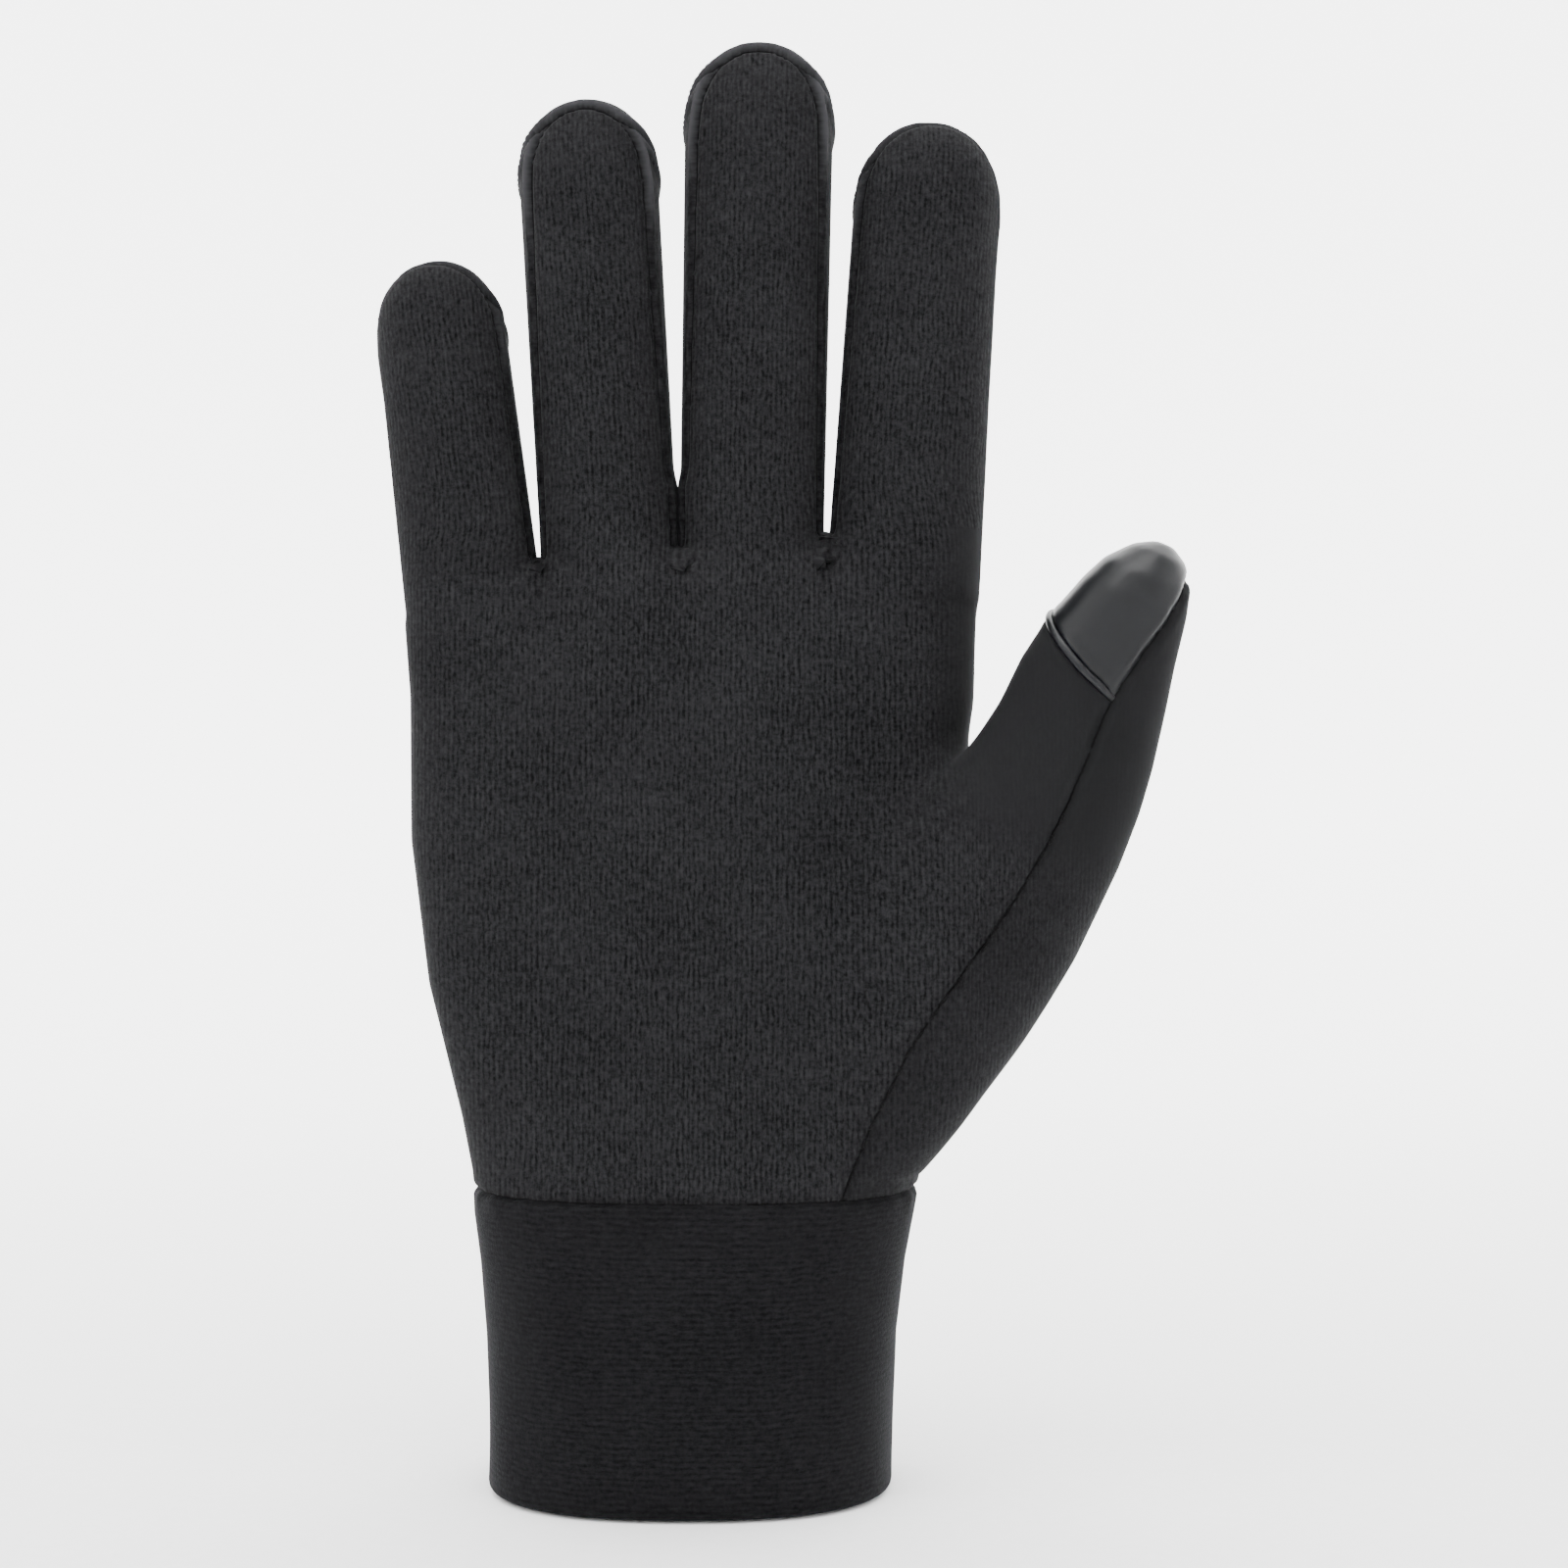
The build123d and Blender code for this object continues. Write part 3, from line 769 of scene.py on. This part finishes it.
def cut_seams(skin):
    """Cuts every seam, and the rings where a finger's cloth is parted between its joints."""
    pick(skin)
    bpy.context.tool_settings.mesh_select_mode = (False, False, True)
    deep = np.array((0.0, 1.0, 0.0))
    cut(skin, lambda p: (p[:, 2] < 155) & ((p[:, 0] < 0) | (p[:, 0] > 40) & ~is_thumb(p) & (p[:, 2] > 117)),
        np.zeros(3), deep)
    cut(skin, lambda p: is_thumb(p) & (p[:, 2] > 117) & (thumb_local(p)[0] < 0), WEB, WEB_NORMAL)
    cut(skin, lambda p: is_thumb(p) & (p[:, 2] > 150) & (thumb_local(p)[0] > 0), WEB, WEB_NORMAL)
    for (x0, z0), (x1, z1) in zip(THUMB_SEAM, THUMB_SEAM[1:]):
        run = np.array((x1 - x0, 0, z1 - z0))
        start = np.array((x0, 0, z0))
        square = np.cross(run, deep) / np.linalg.norm(run)

        def beside(p):
            share = ((p - start) @ run) / (run @ run)
            return (share > -0.08) & (share < 1.08) & ((p - WEB) @ WEB_NORMAL < 2) & (p[:, 1] < 0)

        cut(skin, beside, start, square)
    slope = THUMB_LINE + PATCH_SLANT * THUMB_ACROSS
    slope /= np.linalg.norm(slope)
    cut(skin, lambda p: is_thumb(p) & (p[:, 0] < seam_x(p[:, 2]) + 1), THUMB_START + THUMB_LINE * PATCH_EDGE, slope)
    for k, stall in enumerate(STALLS.values()):
        def on(p):
            return (nearest_finger(p) == k) & (p[:, 2] > FINGER_FLOOR) & ~is_thumb(p)

        share, tilt, half = 1.0, 0.0, FRONT_FOOT
        if len(stall.sides) == 1:
            share = OUTER_SHARE
            tilt = OUTER_SHARE * stall.sides[0] * FRONT_FOOT / (2 * stall.root)
            half = OUTER_SHARE * FRONT_FOOT / 2
        square = deep + tilt * stall.across + share * FRONT_RISE * stall.line
        square /= np.linalg.norm(square)
        cut(skin, on, stall.foot - stall.line * FRONT_START - deep * half, square)
        for side in stall.sides:
            def walls(p):
                return on(p) & (stall.local(p)[0] * side > 0)

            start = stall.top - WALL_TAPER * stall.tip
            cut(skin, lambda p: walls(p) & (stall.local(p)[2] < start + 1), np.array((0, FOURCHETTE_HALF, 0)), deep)
            slant = deep + stall.line * 2 * FOURCHETTE_HALF / (WALL_TAPER_LENGTH * stall.tip)
            slant /= np.linalg.norm(slant)
            corner = stall.foot + stall.line * start + deep * FOURCHETTE_HALF
            cut(skin, lambda p: walls(p) & (stall.local(p)[2] > start - 1), corner, slant)
        for s in (-KNUCKLE_HALF, stall.split):
            cut(skin, on, stall.foot + stall.line * s, stall.line)
    cut(skin, is_thumb, THUMB_START + THUMB_LINE * THUMB_BEND[0], THUMB_LINE)


def open_wrist(skin):
    """Cuts the skin level at the cuff seam and takes the closed end away."""
    bpy.ops.object.mode_set(mode="EDIT")
    bpy.ops.mesh.select_all(action="SELECT")
    bpy.ops.mesh.bisect(plane_co=(0, 0, CUFF_TOP * MM), plane_no=(0, 0, 1), clear_inner=True)
    bpy.ops.object.mode_set(mode="OBJECT")


def seam_edges(skin, panel):
    """The numbers of the edges between two panels, and those round the wrist."""
    mesh = skin.data
    loop_edges = read(mesh.loops, "edge_index", int)
    owner = np.repeat(panel, face_sizes(mesh))
    low = np.full(len(mesh.edges), PATCH + 1)
    high = np.full(len(mesh.edges), -1)
    count = np.zeros(len(mesh.edges), int)
    np.minimum.at(low, loop_edges, owner)
    np.maximum.at(high, loop_edges, owner)
    np.add.at(count, loop_edges, 1)
    return np.flatnonzero(low != high), np.flatnonzero(count == 1)


def girth(x, half_width, flatness):
    """Length of cloth from the middle of a half round form out to x. Flatness is the form's depth over its width."""
    edge = 0.97 * half_width
    inside = np.clip(x, -edge, edge)
    turn = np.arcsin(inside / half_width)
    straight, swing = (1 + flatness) / 2, (1 - flatness) / 4
    return half_width * (straight * turn + swing * np.sin(2 * turn)) + (x - inside) * 1.2


def lay_grain(mesh, panel):
    """Lays a panel out flat in metres on the map called grain: across the ribs and along them, as it was cut."""
    layer = mesh.uv_layers.new(name="grain").data
    p = points_of(mesh)
    x, y, z = p.T
    thumb = is_thumb(p)
    across, along = girth(x - 0.3, 48.0, 0.33), z.copy()
    finger = nearest_finger(p)
    for k, stall in enumerate(STALLS.values()):
        fx, fy, s = stall.local(p)
        part = smooth_step((s + 12) / 16) * (finger == k) * ~thumb
        wide = (stall.root + stall.tip) / 2 + 0.6
        across += part * (girth(fx, wide, FINGER_DEPTH) + stall.foot[0] - across)
        along += part * (s + stall.foot[2] - along)
    if panel not in (PALM_PANEL, BACK_PANEL, PATCH):
        across, along = y, along + np.abs(x - x.mean()) * (z < 158)
    elif panel == PATCH:
        tx, _, tz = thumb_local(p)
        across, along = girth(tx, 13.0, 0.9), tz
    uv = np.stack([across, along], 1)[corners_of(mesh)] * MM
    layer.foreach_set("uv", uv.ravel())


def edge_points(mesh, edges):
    """Points on these edges: one end of each, and its middle."""
    pairs = read(mesh.edges, "vertices", int, 2)[edges]
    p = points_of(mesh)
    return np.concatenate([p[pairs[:, 0]], p[pairs].mean(1)])


def distance_to(points, p, limit):
    """Distance from each of p to the nearest of the points, up to the limit."""
    tree = KDTree(len(points))
    for i, q in enumerate(points):
        tree.insert(q, i)
    tree.balance()
    low, high = points.min(0) - limit, points.max(0) + limit
    near = np.flatnonzero(((p > low) & (p < high)).all(1))
    found = np.full(len(p), limit)
    for i in near:
        found[i] = min(limit, tree.find(p[i])[2])
    return found


def vertex_panels(mesh, panel):
    """One panel for each vertex, the highest of its faces'."""
    found = np.full(len(mesh.vertices), -1)
    np.maximum.at(found, corners_of(mesh), np.repeat(panel, face_sizes(mesh)))
    return found


def set_attribute(mesh, name, values):
    """Keeps one number for each vertex, for the materials to read."""
    layer = mesh.attributes.new(name, "FLOAT", "POINT")
    layer.data.foreach_set("value", np.asarray(values, dtype=np.float32))


def draw_seams(skin, panel, seams, wrist):
    """Draws the cloth in along its seams, swells it beside them, and puckers it between the fingers."""
    mesh = skin.data
    p = points_of(mesh)
    n = normals_of(mesh)
    label = vertex_panels(mesh, panel)
    thumb = is_thumb(p)
    gap = distance_to(edge_points(mesh, np.concatenate([seams, wrist])), p, SEAM_REACH)
    # The knit reads this distance to paint shade along each seam.
    set_attribute(mesh, "seam", gap)
    # The thumb's front is pressed smooth, and the nap is longest on the palm and fingers.
    along = thumb_local(p)[2]
    smooth = smooth_step((along + 34) / 14) * smooth_step((p[:, 0] - 38) / 10) * (p[:, 2] < 160)
    set_attribute(mesh, "nap", 1 - 0.85 * smooth)
    move = -SEAM_DEPTH * (1 - smooth_step(gap / SEAM_WIDTH))
    move += SEAM_RIDGE * np.exp(-((gap - SEAM_RIDGE_AT) / SEAM_RIDGE_WIDTH) ** 2)
    tips = np.zeros(len(p))
    finger = nearest_finger(p)
    for k, stall in enumerate(STALLS.values()):
        s = stall.local(p)[2]
        tips += (finger == k) * smooth_step((s - (stall.top - 26)) / 12) * ~thumb * (len(stall.sides) / 2)
    ridge = np.exp(-((gap - TIP_RIDGE_AT) / TIP_RIDGE_WIDTH) ** 2) * tips * (label != PALM_PANEL)
    move += TIP_RIDGE * ridge
    # The knit reads this weight to paint a paler highlight on the ridge.
    set_attribute(mesh, "painted_tip_highlight", ridge)
    for (x0, z0), (x1, z1) in PUCKERS:
        run = np.array((x1 - x0, z1 - z0))
        d = p[:, (0, 2)] - (x0, z0)
        share = np.clip((d @ run) / (run @ run), 0, 1)
        off = d - share[:, None] * run
        away = np.hypot(off[:, 0], off[:, 1])
        facing = smooth_step((np.abs(p[:, 1]) - 4) / 2)
        move -= PUCKER_DEPTH * (1 - smooth_step(share)) * np.exp(-(away / PUCKER_WIDTH) ** 2) * facing
    # Gathers where the knit is eased on to the cuff.
    rim = np.exp(-((p[:, 2] - CUFF_TOP) / GATHER_SPREAD) ** 2)
    round_rim = np.arctan2(p[:, 1], p[:, 0])
    move += GATHER_DEPTH * rim * np.sin(round_rim * GATHERS + 2.2 * np.sin(round_rim * 7))
    set_points(mesh, p + n * move[:, None])


def finish_piece(piece, material):
    """Gives a parted panel its thickness, inwards, and its cloth."""
    apply_modifier(piece, "SOLIDIFY", thickness=CLOTH * MM, offset=-1.0, use_even_offset=False)
    piece.data.materials.clear()
    piece.data.materials.append(material)
    pick(piece)
    bpy.ops.object.shade_smooth_by_angle(angle=radians(50))


def separate(skin, picked, name):
    """Parts the picked faces from the skin as a new piece."""
    pick(skin)
    select_faces(skin.data, picked)
    before = set(bpy.data.objects)
    bpy.ops.object.mode_set(mode="EDIT")
    bpy.ops.mesh.separate(type="SELECTED")
    bpy.ops.object.mode_set(mode="OBJECT")
    piece = (set(bpy.data.objects) - before).pop()
    piece.name = name
    piece.data.name = name
    return piece


def node_name(panel, segment):
    """The CAD node that one panel of one stretch stands for."""
    place = SEGMENTS[segment]
    if place == "hand":
        name = {PALM_PANEL: "palm_panel", BACK_PANEL: "back_panel"}.get(panel)
        name = name or f"{WALLS[panel - 2]}_fourchette"
    elif place == "thumb":
        name = {PALM_PANEL: "thumb_palm_face", BACK_PANEL: "thumb_back_face", PATCH: "thumb_touch_patch"}[panel]
    else:
        k = (segment - 1) // 2
        face = {PALM_PANEL: "palm_face", BACK_PANEL: "back_face"}.get(panel)
        face = face or ("outer_fourchette" if panel - 2 == k else "inner_fourchette")
        name = f"{place}_{face}"
    return name


def set_motion(piece, segment, panel):
    """Attaches the hand's cloth to the hand and the patch to the thumb; the thumb's and the fingers' other cloth is
    only baked in place.
    """
    place = SEGMENTS[segment]
    if place == "hand":
        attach(piece, "hand")
    elif panel == PATCH:
        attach(piece, "thumb")
    elif place == "thumb":
        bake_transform(piece)
    else:
        name, part = place.split("_")
        stall = STALLS[name]
        if part == "base":
            stall.point(-KNUCKLE_HALF)
            stall.point(KNUCKLE_HALF)
            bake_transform(piece)
        else:
            reach = min(BEND_HALF, stall.split - 0.4)
            stall.point(stall.middle - reach)
            stall.point(stall.middle + reach)
            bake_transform(piece)


def declare(piece, node, material=None):
    """Hides the CAD node that a piece stands for, and gives the piece its finish if one is given."""
    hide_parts(node)
    if material is not None:
        piece.data.materials.clear()
        piece.data.materials.append(material)


def flat_size(mesh):
    """The width, length and area of a panel's flat cut, in metres."""
    uv = read(mesh.uv_layers["grain"].data, "uv", width=2)
    width, length = np.maximum(uv.max(0) - uv.min(0), LEAST_CUT)
    area = read(mesh.polygons, "area").sum()
    length = max(length, area / width)
    return (float(width), float(length)), float(max(area, LEAST_FILL * width * length))


def sew_glove(materials):
    """Builds the skin, sews it and parts it into its pieces."""
    skin = fuse_skin()
    let_out_fingers(skin)
    cut_seams(skin)
    open_wrist(skin)
    centres = centres_of(skin.data)
    panel = panels_of(centres)
    segment = segments_of(centres)
    seams, wrist = seam_edges(skin, panel)
    welt_line = patch_line(skin, panel)
    draw_seams(skin, panel, seams, wrist)
    stitches = thumb_stitches(skin, materials["thread"])
    key = skin.data.attributes.new("key", "INT", "FACE")
    key.data.foreach_set("value", panel * KEY + segment)
    cloths = {PALM_PANEL: ("palm", "palm_knit"), BACK_PANEL: ("back", "back_knit"), PATCH: ("patch", "coated_patch")}
    pieces = [stitches]
    patch = None
    for value in sorted(set(panel)):
        sheet = separate(skin, keys_of(skin) // KEY == value, f"panel_{value}")
        lay_grain(sheet.data, value)
        cloth, slot = cloths.get(value, ("palm", "palm_knit"))
        for part in sorted(set(keys_of(sheet) % KEY)):
            node = node_name(value, part)
            rest = keys_of(sheet) % KEY != part
            piece = separate(sheet, ~rest, f"{node}_cloth") if rest.any() else sheet
            piece.name = piece.data.name = f"{node}_cloth"
            flat, area = flat_size(piece.data)
            finish_piece(piece, materials[cloth])
            declare(piece, node)
            if value == PATCH:
                patch = piece, flat, area
            set_motion(piece, part, value)
            pieces.append(piece)
            if piece is sheet:
                break
    bpy.data.objects.remove(skin)
    welt = patch_welt(welt_line, materials["patch"])
    piece, flat, area = patch
    return pieces + [welt]


def keys_of(piece):
    """What panel and stretch each face belongs to."""
    return read(piece.data.attributes["key"].data, "value", int)


# ---------------------------------------------------------------- welt, stitches and cuff

def patch_line(skin, panel):
    """The patch's lower edge from its inner to its outer seam, as a smooth line of points and outward normals."""
    mesh = skin.data
    loops = corners_of(mesh)
    owner = np.repeat(panel, face_sizes(mesh))
    both = np.intersect1d(loops[owner == PATCH], loops[owner == PALM_PANEL])
    p, n = points_of(mesh)[both], normals_of(mesh)[both]
    x, y, _ = thumb_local(p)
    order = np.argsort(np.arctan2(x, -y))
    p, n = p[order], n[order]
    for _ in range(6):
        p[1:-1] = (p[:-2] + 2 * p[1:-1] + p[2:]) / 4
        n[1:-1] = (n[:-2] + 2 * n[1:-1] + n[2:]) / 4
    run = np.concatenate([[0], np.cumsum(np.linalg.norm(np.diff(p, axis=0), axis=1))])
    even = np.linspace(0, run[-1], WELT_POINTS)
    p = np.stack([np.interp(even, run, p[:, k]) for k in range(3)], 1)
    n = np.stack([np.interp(even, run, n[:, k]) for k in range(3)], 1)
    return p, n / np.linalg.norm(n, axis=1)[:, None]


def patch_welt(line, material):
    """The rolled welt along the patch's lower edge: a strip turned over a filler, its ends tucked into the seams."""
    points, normals = line
    ways = np.gradient(points, axis=0)
    count = len(points)
    stations = []
    for k, (q, n, way) in enumerate(zip(points, normals, ways)):
        way = way / np.linalg.norm(way)
        end = min(k, count - 1 - k)
        radius = WELT_RADIUS * (0.72 + 0.28 * min(end / 4, 1))
        sunk = 0.7 * max(0, 1 - end / 3)
        side = np.cross(n, way)
        side /= np.linalg.norm(side)
        stations.append(matrix_of(side * radius * 1.05, np.cross(way, side) * radius, way, q - n * sunk))
    welt = loft("thumb_patch_welt_roll", stations, points=20)
    bpy.ops.object.shade_smooth_by_angle(angle=radians(50))
    declare(welt, "thumb_patch_welt", material)
    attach(welt, "thumb")
    return welt


def thumb_stitches(skin, material):
    """The stitches of the thumb seam, laid across it in its groove."""
    points = np.array(THUMB_SEAM)
    run = np.concatenate([[0], np.cumsum(np.hypot(*np.diff(points, axis=0).T))])
    cloth = points_of(skin.data)
    normals = normals_of(skin.data)
    front = np.flatnonzero(cloth[:, 1] < 0)
    tree = KDTree(len(front))
    for k, i in enumerate(front):
        tree.insert((cloth[i][0], cloth[i][2], 0), k)
    tree.balance()
    at = np.interp(STITCH_START, points[:, 1], run)
    made = []
    while at < run[-1]:
        x, z = (float(np.interp(at, run, points[:, k])) for k in range(2))
        x2, z2 = (float(np.interp(at + 1, run, points[:, k])) for k in range(2))
        i = front[tree.find((x, z, 0))[1]]
        place = cloth[i]
        if thumb_local(place[None])[2][0] > THUMB_BEND[0] - 1.5:
            break
        way = Vector((x2 - x, 0, z2 - z)).normalized()
        normal = Vector(normals[i])
        way = (way - normal * way.dot(normal)).normalized()
        deselect()
        bpy.ops.mesh.primitive_uv_sphere_add(segments=8, ring_count=8, radius=1.0)
        stitch = bpy.context.object
        stitch.data.transform(matrix_of(normal.cross(way) * STITCH_RADIUS, normal * STITCH_RADIUS,
                                        way * STITCH_LENGTH / 2, Vector(place) - normal * STITCH_SUNK))
        stitch.matrix_world = Matrix.Identity(4)
        bpy.ops.object.shade_smooth()
        made.append(stitch)
        at += STITCH_PITCH
    stitches = join(made, "thumb_seam_thread")
    declare(stitches, "thumb_seam_stitches", material)
    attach(stitches, "hand")
    return stitches


def cuff_ring(z):
    """The cuff's middle, half width and half depth at a height."""
    heights, lefts, rights, depths = (list(reversed(column)) for column in zip(*CUFF))
    left, right, depth = (float(np.interp(z, heights, column)) for column in (lefts, rights, depths))
    return (left + right) / 2, (right - left) / 2, depth


def ring_station(z, inset, level):
    """A ring of the cuff's size at one height, taken in, and put at a level."""
    middle, half_width, half_depth = cuff_ring(z)
    return station((middle, 0, level), half_width - inset, half_depth - inset)


def uncap(form):
    """Takes a form's end faces away and leaves it in edit mode."""
    pick(form)
    bpy.ops.object.mode_set(mode="EDIT")
    mesh = bmesh.from_edit_mesh(form.data)
    bmesh.ops.delete(mesh, geom=[f for f in mesh.faces if len(f.verts) > 4], context="FACES_ONLY")
    return mesh


def cuff_tube(material):
    """The cuff: a tube folded double at its hem, its face inwards and outwards, its two edges in the cuff seam."""
    stations = [ring_station(50.4, 1.5, 50.5), ring_station(50.2, 0.75, 50.25), ring_station(49.9, 0.3, 49.85),
                ring_station(49.4, 0.06, 49.3)]
    for z in (48.8, 47.6, 46, 43.5, 41, 38, 34, 30, 26, 22, 18, 14, 10, 7, 4.5):
        stations.append(ring_station(z, 0.0, z))
    for a in (0, 22, 45, 68, 90, 112, 135, 158, 180):
        z = HEM_RADIUS - HEM_RADIUS * sin(radians(a))
        stations.append(ring_station(z, HEM_RADIUS * (1 - cos(radians(a))), z + 0.15))
    for z in (4.5, 10, 18, 26, 34, 41, 46, 48.8):
        stations.append(ring_station(z, 2 * HEM_RADIUS, z))
    cuff = loft("cuff_tube", stations, CUFF_SQUARENESS, CUFF_POINTS)
    mesh = uncap(cuff)
    # The grain runs round the wrist: u is the height along the cloth, v the way round.
    layer = mesh.loops.layers.uv.new("grain")
    way_round = 2 * (cuff_ring(25)[1] + cuff_ring(25)[2]) * CUFF_ROUND * MM
    run = [0.0]
    for last, now in zip(stations, stations[1:]):
        step = (now.translation - last.translation).length
        wide = abs(now.col[0].length - last.col[0].length)
        run.append(run[-1] + (step ** 2 + wide ** 2) ** 0.5)
    mesh.verts.index_update()
    for face in mesh.faces:
        columns = [loop.vert.index % CUFF_POINTS for loop in face.loops]
        wrap = max(columns) - min(columns) > 2
        for loop in face.loops:
            row, column = divmod(loop.vert.index, CUFF_POINTS)
            if wrap and column == 0:
                column = CUFF_POINTS
            loop[layer].uv = (run[row], column / CUFF_POINTS * way_round)
    bmesh.update_edit_mesh(cuff.data)
    bpy.ops.mesh.select_all(action="SELECT")
    bpy.ops.mesh.normals_make_consistent(inside=False)
    bpy.ops.object.mode_set(mode="OBJECT")
    p = points_of(cuff.data)
    n = normals_of(cuff.data)
    if (n[:, :2] * p[:, :2]).sum(1)[:CUFF_POINTS * 8].mean() < 0:
        cuff.data.flip_normals()
        n = -n
    turn = np.arctan2(p[:, 1], p[:, 0])
    gather = np.exp(-((p[:, 2] - 49.2) / 2.2) ** 2) * 0.12 * np.sin(turn * 41 + 2.5 * np.sin(turn * 6))
    # The stretched knit lies in broad shallow waves down the cuff.
    wave = 0.16 * np.sin(turn * 5 + 0.9) * np.sin(p[:, 2] / 50 * pi) + 0.10 * np.sin(turn * 11 + p[:, 2] / 14)
    # The tube is closed by a seam at the middle of the back, where its grain meets.
    column = np.arange(len(p)) % CUFF_POINTS
    away = np.minimum(column, CUFF_POINTS - column) * way_round / MM / CUFF_POINTS
    gather -= 0.3 * (1 - smooth_step(away / 1.2))
    set_points(cuff.data, p + n * (gather + wave * smooth_step(p[:, 2] / 6))[:, None])
    # The knit reads this distance to paint shade along the cuff seam and the back seam.
    set_attribute(cuff.data, "seam", np.minimum(np.abs(p[:, 2] - 50.2), away))
    set_attribute(cuff.data, "nap", np.ones(len(p)))
    finish_piece(cuff, material)
    declare(cuff, "cuff")
    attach(cuff, "hand")
    return cuff


def overlock(material):
    """The overlocked allowance of the cuff seam, inside the glove: a narrow band bound over with looped thread."""
    low, high = OVERLOCK
    stations = []
    for z, inset in ((low, 3.1), (low + 1.6, 3.5), ((low + high) / 2, 3.6), (high - 1.4, 3.5), (high, 3.1),
                     (high - 0.2, 2.9), ((low + high) / 2, 2.8), (low + 0.2, 2.85)):
        stations.append(ring_station(min(z, 50.4), inset, z))
    stations.append(stations[0])
    band = loft("cuff_seam_overlock_binding", stations, CUFF_SQUARENESS, CUFF_POINTS)
    uncap(band)
    bmesh.update_edit_mesh(band.data)
    bpy.ops.mesh.select_all(action="SELECT")
    bpy.ops.mesh.remove_doubles(threshold=0.01 * MM)
    bpy.ops.mesh.normals_make_consistent(inside=False)
    bpy.ops.object.mode_set(mode="OBJECT")
    # The loops of thread stand up every 2.4 mm or so.
    p, n = points_of(band.data), normals_of(band.data)
    turn = np.arctan2(p[:, 1], p[:, 0])
    set_points(band.data, p + n * (0.16 * np.cos(turn * 80 + p[:, 2] * 1.1))[:, None])
    bpy.ops.object.shade_smooth_by_angle(angle=radians(60))
    declare(band, "cuff_seam_overlock", material)
    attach(band, "hand")
    return band


def main():
    set_camera()
    set_stage()
    set_light()
    materials = {
        "palm": knit("Brushed polyester elastane knit", "040405", "232324", 0.84, 0.85, 0.015),
        "back": knit("Smooth polyester elastane knit", "080809", "1e1e1f", 0.84, 0.8, 0.02),
        "cuff": knit("Brushed knit, turned for the cuff", "040405", "171718", 1.0, 0.85, 0.05),
        "patch": coated("Polyurethane coated knit"),
        "thread": thread("Spun polyester thread"),
    }
    pieces = sew_glove(materials)
    pieces.append(cuff_tube(materials["cuff"]))
    pieces.append(overlock(materials["thread"]))
    for piece in pieces:
        piece.data.calc_loop_triangles()
    counts = {piece.name: len(piece.data.loop_triangles) for piece in pieces}
    print("pieces", len(pieces), "triangles", sum(counts.values()), "most", max(counts.values()))


main()
